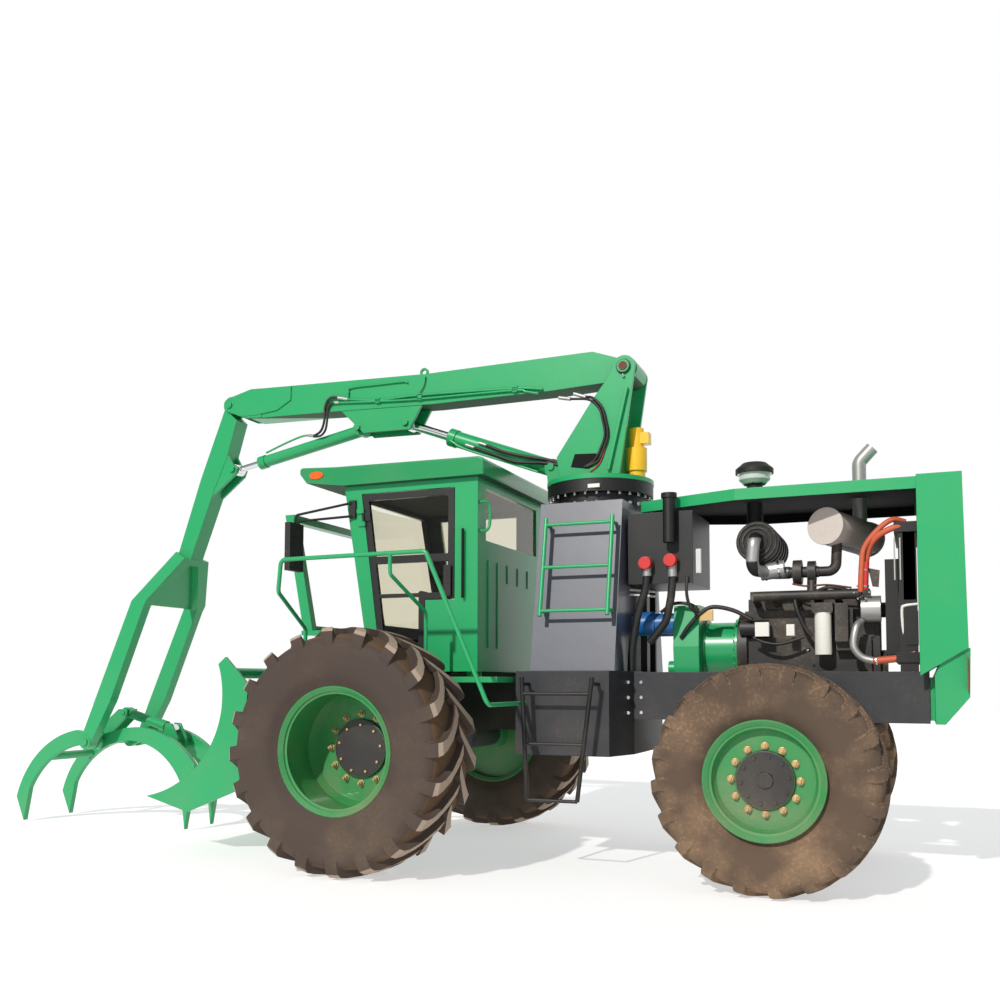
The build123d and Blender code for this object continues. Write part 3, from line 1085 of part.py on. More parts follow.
# Muffler, the elbow from the turbo and the stack that turns rearwards above the hood
def exhaust():
    tx, ty, tz = TURBO
    nx, ny, nz = MUFFLER_NEAR
    elbow = tube_run([(tx + 100 + SEAT_GAP, ty, tz), (nx + 60, ty, tz), (nx + 75, ty, nz - 40)], 36, 60)
    stack = tube_run([(STACK_X, 90, nz), (STACK_X, 90, 3010), (STACK_X + 95, 90, 3112)], STACK_RADIUS, 70)
    bands = []
    axis = Vector(*MUFFLER_FAR) - Vector(*MUFFLER_NEAR)
    for share in (0.0, 0.97):
        start = Vector(*MUFFLER_NEAR) + axis * share
        bands.append(rod(tuple(start), tuple(start + axis * 0.03), MUFFLER_RADIUS + 5))
    return joined(rod(MUFFLER_NEAR, MUFFLER_FAR, MUFFLER_RADIUS), elbow, stack, *bands)


keep("exhaust", exhaust())

# Hydraulic tank on its stand, with the filler neck and the two suction valves
tank_pieces = [block(TANK_X0, TANK_X1, TANK_Y0, TANK_Y1, TANK_Z0, TANK_Z1),
               block(TANK_X0 + 10, TANK_X0 + 60, -125, -35, BASE_Z1, TANK_Z0 + 1),
               block(TANK_X0 + 10, TANK_X0 + 60, TANK_Y1 - 50, TANK_Y1, BASE_Z1, TANK_Z0 + 1)]
for x in (1948, 2139):
    pieces_z = TANK_Z0 + 155
    tank_pieces.append(cross_rod((x, pieces_z), TANK_Y0 - 60, TANK_Y0 + 1, 34))
    tank_pieces.append(cross_rod((x, pieces_z), TANK_Y0 - 16, TANK_Y0 + 1, 52))
neck = (2130, TANK_Y0 - 65)
tank_pieces += [rod((*neck, 2400), (*neck, 2730), 46), rod((*neck, 2729), (*neck, 2765), 58),
                cross_rod((neck[0], 2445), neck[1], TANK_Y0 + 1, 40)]
keep("tank", joined(*tank_pieces))

for name, piece in nodes.items():
    export_step(Pos(-ORIGIN_X, 0, 0) * piece, f"parts/{name}.step")
print(len(nodes), "nodes; origin at x =", ORIGIN_X)
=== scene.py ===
"""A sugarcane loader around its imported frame: materials, tread, hoses, bolts, engine trim and glass.

Lengths are in metres. Places are given from the front axle on the ground, in millimetres, through at().
"""
import bmesh
import bpy
import json
import math
import numpy as np
from mathutils import Matrix, Vector


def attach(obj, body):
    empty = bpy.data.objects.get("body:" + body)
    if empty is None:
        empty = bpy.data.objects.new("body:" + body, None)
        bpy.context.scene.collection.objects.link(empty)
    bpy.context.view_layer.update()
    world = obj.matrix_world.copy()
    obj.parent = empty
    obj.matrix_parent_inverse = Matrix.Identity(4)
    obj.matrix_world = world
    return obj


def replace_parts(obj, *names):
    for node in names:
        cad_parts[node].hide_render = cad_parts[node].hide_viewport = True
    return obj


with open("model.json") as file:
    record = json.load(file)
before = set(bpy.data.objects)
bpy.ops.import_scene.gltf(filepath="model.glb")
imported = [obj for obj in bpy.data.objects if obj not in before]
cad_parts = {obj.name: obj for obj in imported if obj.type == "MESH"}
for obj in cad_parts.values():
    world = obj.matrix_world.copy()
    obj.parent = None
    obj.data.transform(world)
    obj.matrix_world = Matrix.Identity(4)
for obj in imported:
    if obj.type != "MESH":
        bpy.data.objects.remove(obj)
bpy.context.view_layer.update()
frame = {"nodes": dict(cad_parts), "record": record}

AXLE_X = 0.1735
FRONT_TRACK = 1424
REAR_TRACK = 995
WHEELBASE = 2880
TAU = 2 * math.pi


def at(x, y, z):
    """A point in millimetres from the front axle on the ground, in the frame's metres."""
    return Vector((x / 1000 + AXLE_X, y / 1000, z / 1000))


# Node trees

def tree(name):
    """A new material with an empty Principled shader, as (material, nodes, link, shader)."""
    material = bpy.data.materials.new(name)
    material.use_nodes = True
    nodes = material.node_tree.nodes
    return material, nodes, material.node_tree.links.new, nodes["Principled BSDF"]


def wear_group():
    """Dust, mud towards the ground, chipped edges and a softened edge normal, for every painted piece."""
    group = bpy.data.node_groups.new("wear", "ShaderNodeTree")
    for socket, kind, value in (
        ("Colour", "NodeSocketColor", (0.1, 0.1, 0.1, 1)), ("Dust colour", "NodeSocketColor", (0.3, 0.25, 0.2, 1)),
        ("Edge colour", "NodeSocketColor", (0.3, 0.3, 0.3, 1)), ("Dust", "NodeSocketFloat", 0.3),
        ("Mud", "NodeSocketFloat", 0.3), ("Edge", "NodeSocketFloat", 0.4),
        ("Roughness", "NodeSocketFloat", 0.4), ("Round", "NodeSocketFloat", 0.006),
        ("Dents", "NodeSocketFloat", 0.15),
    ):
        made = group.interface.new_socket(name=socket, in_out="INPUT", socket_type=kind)
        made.default_value = value
    outputs = (("Colour", "NodeSocketColor"), ("Roughness", "NodeSocketFloat"), ("Normal", "NodeSocketVector"))
    for socket, kind in outputs:
        group.interface.new_socket(name=socket, in_out="OUTPUT", socket_type=kind)
    new, link = group.nodes.new, group.links.new
    inp, out = new("NodeGroupInput"), new("NodeGroupOutput")
    place = new("ShaderNodeTexCoord")

    def noise(scale, detail, low, high):
        n = new("ShaderNodeTexNoise")
        n.inputs["Scale"].default_value = scale
        n.inputs["Detail"].default_value = detail
        link(place.outputs["Object"], n.inputs["Vector"])
        r = new("ShaderNodeMapRange")
        r.inputs["From Min"].default_value = low
        r.inputs["From Max"].default_value = high
        link(n.outputs["Fac"], r.inputs["Value"])
        return r.outputs["Result"]

    def maths(kind, a, b, clamp=False):
        m = new("ShaderNodeMath")
        m.operation = kind
        m.use_clamp = clamp
        for socket, value in zip(m.inputs, (a, b)):
            if isinstance(value, (int, float)):
                socket.default_value = value
            else:
                link(value, socket)
        return m.outputs[0]

    def mix(factor, a, b):
        m = new("ShaderNodeMix")
        m.data_type = "RGBA"
        link(factor, m.inputs[0])
        link(a, m.inputs[6])
        link(b, m.inputs[7])
        return m.outputs[2]

    split = new("ShaderNodeSeparateXYZ")
    link(place.outputs["Object"], split.inputs[0])
    blotch = noise(3.2, 6, 0.42, 0.72)
    speck = noise(46, 5, 0.5, 0.72)
    low = new("ShaderNodeMapRange")
    low.inputs["From Min"].default_value = 1.5
    low.inputs["From Max"].default_value = 0.1
    link(split.outputs["Z"], low.inputs["Value"])
    height = maths("MULTIPLY", low.outputs["Result"], inp.outputs["Mud"])
    mud = maths("MULTIPLY", height, maths("ADD", blotch, 0.35))
    dust = maths("MULTIPLY", maths("MULTIPLY", blotch, maths("ADD", speck, 0.4)), inp.outputs["Dust"])
    film = maths("ADD", dust, mud, True)
    bevel = new("ShaderNodeBevel")
    bevel.samples = 4
    link(inp.outputs["Round"], bevel.inputs["Radius"])
    shape = new("ShaderNodeNewGeometry")
    dot = new("ShaderNodeVectorMath")
    dot.operation = "DOT_PRODUCT"
    link(bevel.outputs[0], dot.inputs[0])
    link(shape.outputs["True Normal"], dot.inputs[1])
    corner = new("ShaderNodeMapRange")
    corner.inputs["From Min"].default_value = 0.985
    corner.inputs["From Max"].default_value = 0.80
    link(dot.outputs["Value"], corner.inputs["Value"])
    grit = maths("MULTIPLY", noise(70, 4, 0.46, 0.6), inp.outputs["Edge"])
    chips = maths("MULTIPLY", corner.outputs["Result"], grit, True)
    dusty = mix(film, inp.outputs["Colour"], inp.outputs["Dust colour"])
    colour = mix(chips, dusty, inp.outputs["Edge colour"])
    link(colour, out.inputs["Colour"])
    link(maths("ADD", inp.outputs["Roughness"], maths("MULTIPLY", film, 0.4), True), out.inputs["Roughness"])
    bump = new("ShaderNodeBump")
    link(maths("MULTIPLY", inp.outputs["Dents"], 1.0), bump.inputs["Strength"])
    bump.inputs["Distance"].default_value = 0.004
    link(noise(7, 3, 0.2, 0.8), bump.inputs["Height"])
    link(bevel.outputs[0], bump.inputs["Normal"])
    link(bump.outputs[0], out.inputs["Normal"])
    return group


WEAR = wear_group()


def linear(r, g, b):
    """An sRGB colour of 0 to 255 as linear values."""
    shares = (r / 255, g / 255, b / 255)
    return tuple(c / 12.92 if c <= 0.04045 else ((c + 0.055) / 1.055) ** 2.4 for c in shares) + (1,)


DUST = linear(150, 132, 110)
BARE = linear(150, 150, 148)


def coated(name, colour, rough=0.35, dust=0.25, mud=0.3, edge=0.4, metallic=0.0, coat=0.3, dents=0.15,
           dust_colour=DUST, edge_colour=BARE, round_=0.006):
    """A painted, cast or plated surface through the wear group."""
    material, nodes, link, shader = tree(name)
    wear = nodes.new("ShaderNodeGroup")
    wear.node_tree = WEAR
    values = {
        "Colour": colour, "Dust colour": dust_colour, "Edge colour": edge_colour, "Dust": dust, "Mud": mud,
        "Edge": edge, "Roughness": rough, "Round": round_, "Dents": dents,
    }
    for socket, value in values.items():
        wear.inputs[socket].default_value = value
    link(wear.outputs["Colour"], shader.inputs["Base Color"])
    link(wear.outputs["Roughness"], shader.inputs["Roughness"])
    link(wear.outputs["Normal"], shader.inputs["Normal"])
    shader.inputs["Metallic"].default_value = metallic
    shader.inputs["Coat Weight"].default_value = coat
    shader.inputs["Coat Roughness"].default_value = 0.15
    return material


def glass(name, colour, rough):
    """Clear glass that lets light through with little bending, because the panes are thin."""
    material, nodes, link, shader = tree(name)
    shader.inputs["Base Color"].default_value = colour
    shader.inputs["Roughness"].default_value = rough
    shader.inputs["Transmission Weight"].default_value = 1.0
    shader.inputs["IOR"].default_value = 1.3
    return material


GREEN = linear(27, 156, 94)
MATERIALS = {
    "green_paint": coated("green_paint", GREEN, rough=0.34, dust=0.05, mud=0.07, edge=0.45, coat=0.15,
                          edge_colour=linear(20, 84, 50)),
    "roof_paint": coated("roof_paint", linear(22, 138, 80), rough=0.3, dust=0.12, edge=0.2,
                         edge_colour=linear(20, 84, 50)),
    "rim_paint": coated("rim_paint", linear(30, 134, 66), rough=0.45, dust=0.25, mud=0.3, edge=0.5),
    "tower_grey": coated("tower_grey", linear(74, 78, 90), rough=0.42, dust=0.14, mud=0.2, edge=0.5),
    "frame_grey": coated("frame_grey", linear(34, 36, 42), rough=0.5, dust=0.08, mud=0.12, edge=0.5,
                         coat=0.15),
    "black_paint": coated("black_paint", linear(13, 13, 15), rough=0.45, dust=0.035, mud=0.1, edge=0.35,
                          coat=0.0),
    "yellow_paint": coated("yellow_paint", linear(240, 188, 28), rough=0.35, dust=0.1, mud=0, edge=0.5),
    "matte_black": coated("matte_black", linear(14, 14, 15), rough=0.6, dust=0.06, coat=0.0, edge=0.2),
    "engine_iron": coated("engine_iron", linear(36, 33, 32), rough=0.5, dust=0.4, coat=0.0, edge=0.9,
                          dents=0.4),
    "muffler_grey": coated("muffler_grey", linear(196, 186, 178), rough=0.6, dust=0.25, metallic=0.0,
                           coat=0.0, edge=0.3),
    "chrome_rod": coated("chrome_rod", linear(225, 226, 228), rough=0.12, dust=0.05, mud=0, edge=0,
                         metallic=1.0, coat=0.0, dents=0),
    "seat_fabric": coated("seat_fabric", linear(38, 38, 42), rough=0.9, dust=0.2, coat=0.0, edge=0),
    "tyre_rubber": coated("tyre_rubber", linear(62, 49, 42), rough=0.75, dust=0.25, mud=0.22, coat=0.0,
                          edge=0.5,
                          edge_colour=linear(120, 102, 88), dust_colour=linear(116, 98, 82), dents=0.35,
                          round_=0.01),
    "worn_rubber": coated("worn_rubber", linear(164, 145, 128), rough=0.75, dust=0.3, mud=0.1, coat=0.0,
                          edge=0.6,
                          edge_colour=linear(92, 74, 60), dents=0.4),
    "tread_mud": coated("tread_mud", linear(88, 66, 47), rough=0.95, dust=0.5, mud=0.3, coat=0.0, edge=0,
                        dust_colour=linear(120, 92, 66), dents=1.0),
    "muddy_rubber": coated("muddy_rubber", linear(78, 64, 54), rough=0.95, dust=0.9, mud=0.55, coat=0.0,
                           edge=0.8,
                           edge_colour=linear(158, 134, 108), dust_colour=linear(136, 110, 86), dents=1.0,
                           round_=0.02),
    "clear_glass": glass("clear_glass", (0.82, 0.80, 0.70, 1), 0.02),
    "brass": coated("brass", linear(206, 172, 118), rough=0.4, dust=0.2, metallic=0.5, coat=0.0),
    "hose": coated("hose", linear(20, 20, 21), rough=0.5, dust=0.15, coat=0.0, edge=0),
    "red_paint": coated("red_paint", linear(196, 36, 34), rough=0.4, dust=0.1, mud=0, edge=0.4),
    "orange_hose": coated("orange_hose", linear(196, 80, 44), rough=0.5, dust=0.35, mud=0, edge=0, coat=0.0),
    "blue_paint": coated("blue_paint", linear(20, 96, 162), rough=0.4, dust=0.3, mud=0, edge=0.5),
    "aluminium": coated("aluminium", linear(176, 176, 174), rough=0.4, dust=0.3, metallic=0.7, coat=0.0),
    "white_paint": coated("white_paint", linear(224, 222, 214), rough=0.4, dust=0.15, mud=0, edge=0.2),
    "lamp_orange": coated("lamp_orange", linear(226, 96, 24), rough=0.2, dust=0.05, mud=0, edge=0),
    "lamp_clear": coated("lamp_clear", linear(205, 206, 204), rough=0.1, dust=0.1, mud=0, edge=0),
    "rust": coated("rust", linear(104, 56, 40), rough=0.8, dust=0.4, mud=0, edge=0.3, coat=0.0),
    # Painted shade: a darker green given to undersides, standing in for the shade beneath them
    "painted_shade_green": coated("painted_shade_green", linear(26, 78, 52), rough=0.7, dust=0.25, mud=0, edge=0.1,
                           coat=0.0),
    # Painted shadow: near-black for hollows and insides that are only in shade
    "void": coated("void", linear(7, 7, 7), rough=0.95, dust=0.0, mud=0, edge=0, coat=0.0),
    "lining": coated("lining", linear(52, 50, 46), rough=0.9, dust=0.2, mud=0, edge=0, coat=0.0),
    "cap_black": coated("cap_black", linear(24, 22, 23), rough=0.5, dust=0.1, mud=0.15, edge=0.7),
}
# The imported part's slot that a finish of the scene's own belongs to
node_slot = {p["node"]: p["material_slot"] for p in frame["record"]["subparts"]}
for node, obj in frame["nodes"].items():
    mesh = obj.data
    mesh.materials.clear()
    mesh.materials.append(MATERIALS[node_slot[node]])
    mesh.polygons.foreach_set("use_smooth", np.ones(len(mesh.polygons), bool))
    mesh.set_sharp_from_angle(angle=math.radians(28))


def repaint(node, material, inside, facing=None):
    """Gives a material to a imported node's faces whose middle, in millimetres, is inside and that face one way."""
    mesh = frame["nodes"][node].data
    mesh.materials.append(MATERIALS[material])
    for face in mesh.polygons:
        x, y, z = face.center
        turned_there = facing is None or face.normal @ Vector(facing) > 0.6
        if turned_there and inside((x - AXLE_X) * 1000, y * 1000, z * 1000):
            face.material_index = len(mesh.materials) - 1


def tower_side(z):
    """Where the tower's left side stands at a height: it leans out by 250 over its 1389."""
    return -500 - 250 * (2750 - z) / 1389


repaint("column", "black_paint", lambda x, y, z: z < 2944)
repaint("pedestal", "black_paint", lambda x, y, z: z > 2751)
repaint("pedestal", "green_paint", lambda x, y, z: z < 2740 and x > 900 and y < tower_side(z) - 38)
repaint("cab_shell", "lining", lambda x, y, z: -470 < x < 650 and abs(y) < 690 and 1480 < z < 2925)
repaint("engine", "white_paint", lambda x, y, z: 3126 < x < 3244 and y < -276 and 1600 < z < 1869)
repaint("engine", "aluminium", lambda x, y, z: 3400 < x < 3560 and y < -192 and 1797 < z < 1985)
repaint("pump_drive", "blue_paint", lambda x, y, z: x < 2111 and z > 1735)
repaint("air_cleaner", "aluminium", lambda x, y, z: y < -500 and 2225 < z < 2395)
repaint("air_cleaner", "aluminium", lambda x, y, z: 2770 < x < 2935 and z < 2230)
repaint("exhaust", "aluminium", lambda x, y, z: z > 2650)
repaint("exhaust", "engine_iron", lambda x, y, z: z < 2345)
# Painted shadow: the hood's underside and the inner faces of its sides are near-black, standing in for the shade
# inside the engine bay
repaint("hood", "void", lambda x, y, z: x > 1800, (0, 0, -1))
repaint("hood", "void", lambda x, y, z: y > 0, (0, -1, 0))
repaint("hood", "void", lambda x, y, z: y < 0, (0, 1, 0))
# Painted shade: the boom's underside is a darker green
repaint("boom", "painted_shade_green", lambda x, y, z: x > -1500, (0, 0, -1))
repaint("front_frame", "matte_black", lambda x, y, z: x < 1000)
repaint("air_cleaner", "lamp_clear", lambda x, y, z: 2886 < z < 2962 and math.hypot(x - 2675, y) > 70)


# Mesh building

def turned(axis):
    """The turn that carries Z to an axis."""
    return np.array(Vector(axis).to_track_quat("Z", "Y").to_matrix())


class Build:
    """Collects simple forms into one mesh."""

    def __init__(self):
        self.verts, self.faces = [], []

    def add(self, verts, faces):
        """Joins points and faces to those already there."""
        start = len(self.verts)
        self.verts += [tuple(v) for v in verts]
        self.faces += [tuple(i + start for i in f) for f in faces]
        return self

    def grid(self, points, wrap_u=False, wrap_v=False):
        """Quads over points[u, v, 3]: (u, v), (u+1, v), (u+1, v+1), (u, v+1), and closed where it wraps."""
        nu, nv = points.shape[:2]
        index = np.arange(nu * nv).reshape(nu, nv)
        if wrap_u:
            index = np.vstack([index, index[:1]])
        if wrap_v:
            index = np.hstack([index, index[:, :1]])
        quads = np.stack([index[:-1, :-1], index[1:, :-1], index[1:, 1:], index[:-1, 1:]], -1)
        return self.add(points.reshape(-1, 3), quads.reshape(-1, 4))

    def rod(self, start, end, radius, sides=16, end_radius=None):
        """A bar: the circle (cos a, sin a) times radius at start, joined to one at end, with both ends closed."""
        far = radius if end_radius is None else end_radius
        a = TAU * np.arange(sides) / sides
        ring = np.stack([np.cos(a), np.sin(a), 0 * a], 1) @ turned(Vector(end) - Vector(start)).T
        verts = np.vstack([np.array(start) + radius * ring, np.array(end) + far * ring])
        faces = [(i, (i + 1) % sides, sides + (i + 1) % sides, sides + i) for i in range(sides)]
        faces += [tuple(reversed(range(sides))), tuple(range(sides, 2 * sides))]
        return self.add(verts, faces)

    def block(self, low, high):
        """A box between two opposite corners."""
        (a, b, c), (d, e, f) = low, high
        verts = [(x, y, z) for x in (a, d) for y in (b, e) for z in (c, f)]
        sides = [(0, 1, 3, 2), (4, 6, 7, 5), (0, 4, 5, 1), (2, 3, 7, 6), (0, 2, 6, 4), (1, 5, 7, 3)]
        return self.add(verts, sides)

    def prism(self, outline, y0, y1):
        """A plate: an outline of (x, z) in metres between two places across the machine."""
        n = len(outline)
        verts = [(x, y, z) for y in (y0, y1) for x, z in outline]
        faces = [tuple(range(n)), tuple(reversed(range(n, 2 * n)))]
        return self.add(verts, faces + [(i, n + i, n + (i + 1) % n, (i + 1) % n) for i in range(n)])

    def lathe(self, centre, axis, profile, sides=48):
        """A turned form: the profile's (distance d along the axis, radius r) goes to (r cos a, r sin a, d)."""
        d, r = np.array(profile, float).T
        a = TAU * np.arange(sides)[:, None] / sides
        points = np.stack([r * np.cos(a), r * np.sin(a), d + 0 * a], -1)
        return self.grid(points @ turned(axis).T + np.array(centre), wrap_u=True)

    def tube(self, points, radius, sides=10, steps=6):
        """A hose: the circle (cos a) up + (sin a) side carried along a smooth line without twist, and closed."""
        line = smooth_line(points, steps)
        ahead = np.gradient(line, axis=0)
        ahead /= np.linalg.norm(ahead, axis=1)[:, None]
        up = np.array((0.0, 0.0, 1.0)) if abs(ahead[0][2]) < 0.9 else np.array((0.0, 1.0, 0.0))
        ups = []
        for t in ahead:
            up = up - t * (up @ t)
            up /= np.linalg.norm(up)
            ups.append(up)
        ups = np.array(ups)[:, None]
        side = np.cross(ahead[:, None], ups)
        a = np.linspace(0, TAU, sides, endpoint=False)[:, None]
        start = len(self.verts)
        self.grid(line[:, None] + radius * (np.cos(a) * ups + np.sin(a) * side), wrap_v=True)
        last = start + (len(line) - 1) * sides
        self.faces += [tuple(range(start, start + sides)), tuple(reversed(range(last, last + sides)))]
        return self

    def make(self, name, material, body, bevel=0.0, smooth=35):
        """The mesh as an object on a body, with its edges sharp past smooth degrees and bevelled if asked."""
        mesh = bpy.data.meshes.new(name)
        verts = [tuple(float(c) for c in v) for v in self.verts]
        mesh.from_pydata(verts, [], [tuple(int(i) for i in f) for f in self.faces])
        mesh.materials.append(MATERIALS[material])
        mesh.polygons.foreach_set("use_smooth", np.ones(len(mesh.polygons), bool))
        mesh.set_sharp_from_angle(angle=math.radians(smooth))
        obj = bpy.data.objects.new(name, mesh)
        bpy.context.scene.collection.objects.link(obj)
        if bevel:
            mod = obj.modifiers.new("edges", "BEVEL")
            mod.width, mod.segments, mod.limit_method = bevel, 2, "ANGLE"
        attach(obj, body)
        return obj


def smooth_line(points, steps):
    """A Catmull-Rom line through the points, steps to a span."""
    p = np.array([tuple(v) for v in points], float)
    p = np.vstack([2 * p[0] - p[1], p, 2 * p[-1] - p[-2]])
    a, b, c, d = (p[i:len(p) - 3 + i, None] for i in range(4))
    t = np.linspace(0, 1, steps, endpoint=False)[:, None]
    line = 2 * b + (c - a) * t + (2 * a - 5 * b + 4 * c - d) * t ** 2 + (3 * b - a - 3 * c + d) * t ** 3
    return np.vstack([0.5 * line.reshape(-1, 3), p[-2:-1]])


def hexes(build, centres, axis, radius, height):
    """Hexagon heads standing on their centres."""
    for c in centres:
        build.rod(c, Vector(c) + Vector(axis) * height, radius, 6)
    return build


def circle(centre, axis, radius, count, start=0.0):
    """Points round a circle about an axis."""
    a = start + TAU * np.arange(count) / count
    points = radius * np.stack([np.cos(a), np.sin(a), 0 * a], 1) @ turned(axis).T + np.array(centre)
    return [Vector(p) for p in points]


# Tyres: a smooth carcass with two rows of leaning lugs that run over the shoulder

def rounded(points, rounds):
    """Cuts the corners of an open line a few times, keeping its ends."""
    p = np.array(points, float)
    for _ in range(rounds):
        cut = np.empty((2 * len(p) - 2, 2))
        cut[0::2] = 0.75 * p[:-1] + 0.25 * p[1:]
        cut[1::2] = 0.25 * p[:-1] + 0.75 * p[1:]
        p = np.vstack([p[:1], cut, p[-1:]])
    return p


LUGS = 20
LUG_STATIONS = np.array([
    # top across as a share of the half width, top below the radius, foot across, foot below the radius
    (-0.06, 0, -0.06, 0.060), (0.15, 0, 0.15, 0.060), (0.45, 0.001, 0.45, 0.062), (0.72, 0.006, 0.70, 0.075),
    (0.88, 0.016, 0.82, 0.095), (0.965, 0.040, 0.87, 0.115), (1.0, 0.080, 0.90, 0.135), (1.0, 0.12, 0.92, 0.16),
    (0.98, 0.165, 0.94, 0.19),
])
LUG_FOOT = 0.62
LUG_TOP = 0.44


def carcass_profile(radius, half, bead, relief):
    """The tyre's section as (across, radius): tread, shoulder, sidewall and bead, with its corners cut twice."""
    tread, section = radius - relief, radius - bead
    side = [
        (0, tread), (0.6 * half, tread - 0.004), (0.82 * half, tread - 0.018), (0.92 * half, tread - 0.045),
        (0.975 * half, tread - 0.08), (half, radius - 0.36 * section), (half, radius - 0.6 * section),
        (0.97 * half, bead + 0.10), (0.85 * half, bead + 0.04), (0.78 * half, bead), (0.76 * half, bead - 0.012),
    ]
    return rounded([(-y, r) for y, r in reversed(side)] + side[1:], 2)


def lug(radius, half, lug_width, start, row):
    """One lug as points[station, corner, 3], from the middle of the tread over the shoulder.

    A corner at the angle a and the radius r stands at (r cos a, r sin a). The angle starts at the lug's own and
    falls with the share s across by 1.28 s - 0.4775 s squared, in half widths, which leans the lug 52 degrees
    from the axle at the middle and 18 at the shoulder. Past 0.7 across the lug grows wider.
    """
    top, top_down, foot, foot_down = LUG_STATIONS.T
    across = np.stack([foot, top, top, foot], 1)
    r = radius - np.stack([foot_down, top_down, top_down, foot_down], 1)
    flare = 1 + 1.1 * np.maximum(0, top - 0.7)
    lean = half * (1.28 * top - 0.4775 * top ** 2)
    spread = np.array((LUG_FOOT, LUG_TOP, -LUG_TOP, -LUG_FOOT)) * lug_width
    a = start + (spread * flare[:, None] - lean[:, None]) / radius
    return np.stack([r * np.cos(a), row * across * half, r * np.sin(a)], -1)


def tyre(name, body, centre, radius, width, bead, relief, lug_width, replaced):
    """A carcass turned about the axle, with a row of lugs on each side of the middle, half a lug apart."""
    half = width / 2
    build = Build().lathe(centre, (0, 1, 0), carcass_profile(radius, half, bead, relief), 96)
    carcass = len(build.faces)
    for row in (-1, 1):
        for number in range(LUGS):
            start = TAU * (number + (0.5 if row > 0 else 0)) / LUGS
            first = len(build.verts)
            build.grid(lug(radius, half, lug_width, start, row) + np.array(centre))
            last = first + 4 * (len(LUG_STATIONS) - 1)
            build.faces += [tuple(first + k for k in (3, 2, 1, 0)), tuple(last + k for k in range(4))]
    muddy = relief < 0.04
    obj = build.make(name, "muddy_rubber" if muddy else "tyre_rubber", body, smooth=30)
    if not muddy:
        mesh = obj.data
        mesh.materials.append(MATERIALS["worn_rubber"])
        mesh.materials.append(MATERIALS["tread_mud"])
        middles = np.empty(3 * len(mesh.polygons))
        mesh.polygons.foreach_get("center", middles)
        away = middles.reshape(-1, 3) - np.array(centre)
        reach = np.hypot(away[:, 0], away[:, 2])
        on_lug = np.arange(len(reach)) >= carcass
        worn, mud = on_lug & (reach > radius - 0.03), ~on_lug & (reach > radius - 0.085)
        mesh.polygons.foreach_set("material_index", (worn + 2 * mud).astype(np.int32))
    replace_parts(obj, replaced)
    return obj


WHEELS = [
    # place, x, half track, radius, width, bead, tread relief, lug width,
    # cap face, cap radius, nut circle, rim half, barrel
    ("front", 0, FRONT_TRACK, 0.885, 0.613, 0.438, 0.050, 0.086, 123, 0.212, 0.254, 259, 0.422),
    ("rear", WHEELBASE, REAR_TRACK, 0.750, 0.444, 0.367, 0.026, 0.074, -155, 0.186, 0.218, 238, 0.351),
]
for wheel in WHEELS:
    place, x, track, radius, width, bead, relief, lug_width = wheel[:8]
    cap_face, cap_radius, nut_circle, rim_half, barrel = wheel[8:]
    for side_name, side in (("left", -1), ("right", 1)):
        which = f"{place}_{side_name}"
        body = f"wheel_{which}"
        centre = at(x, side * track, radius * 1000)
        tyre(f"tread_{which}", body, centre, radius, width, bead, relief, lug_width, f"tyre_{which}")
        out = Vector((0, side, 0))
        face = at(x, side * (track - cap_face), radius * 1000)
        front = place == "front"
        edge = [(0, cap_radius + 0.004), (0.018, cap_radius + 0.004), (0.027, cap_radius - 0.006)]
        boss = [(0.027, 0.30 * cap_radius), (0.042, 0.27 * cap_radius), (0.044, 0.0)]
        middle = [(0.027, 0.0)] if front else boss
        cap = Build().lathe(face - out * 0.024, out, edge + middle, 64)
        cap.make(f"hub_cap_{which}", "cap_black", body, smooth=30)
        bolt_places = circle(face, out, 0.82 * cap_radius, 9 if front else 10, 0.13)
        bolts = hexes(Build(), [p + out * 0.002 for p in bolt_places], out, 0.011, 0.012)
        bolts.make(f"cap_bolts_{which}", "brass" if front else "cap_black", body)
        nut_places = circle(face, out, nut_circle, 12)
        nuts = hexes(Build(), [p - out * 0.02 for p in nut_places], out, 0.017 if front else 0.021, 0.024)
        for p in nut_places:
            nuts.rod(p + out * 0.002, p + out * 0.024, 0.009, 10)
            nuts.rod(p - out * 0.0245, p - out * 0.016, 0.026, 14)
        nuts.make(f"wheel_nuts_{which}", "brass", body, smooth=30)
        flange = at(x, side * (track + rim_half), radius * 1000)
        rings = Build()
        for depth in ((0.036,) if front else (0.030, 0.058)):
            ridge = [(0, 0.002), (0.004, -0.018), (0.012, -0.019), (0.018, 0.002)]
            rings.lathe(flange, -out, [(depth + along, barrel + rise) for along, rise in ridge], 72)
        rings.make(f"rim_rings_{which}", "rim_paint", body, smooth=40)


# Trim: pipes, hoses, fittings, plates and bolts, gathered by place, body and material

gathered = {}


def trim(place, body, material):
    """The mesh that gathers one place's pieces of one material on one body."""
    return gathered.setdefault((place, body, material), Build())


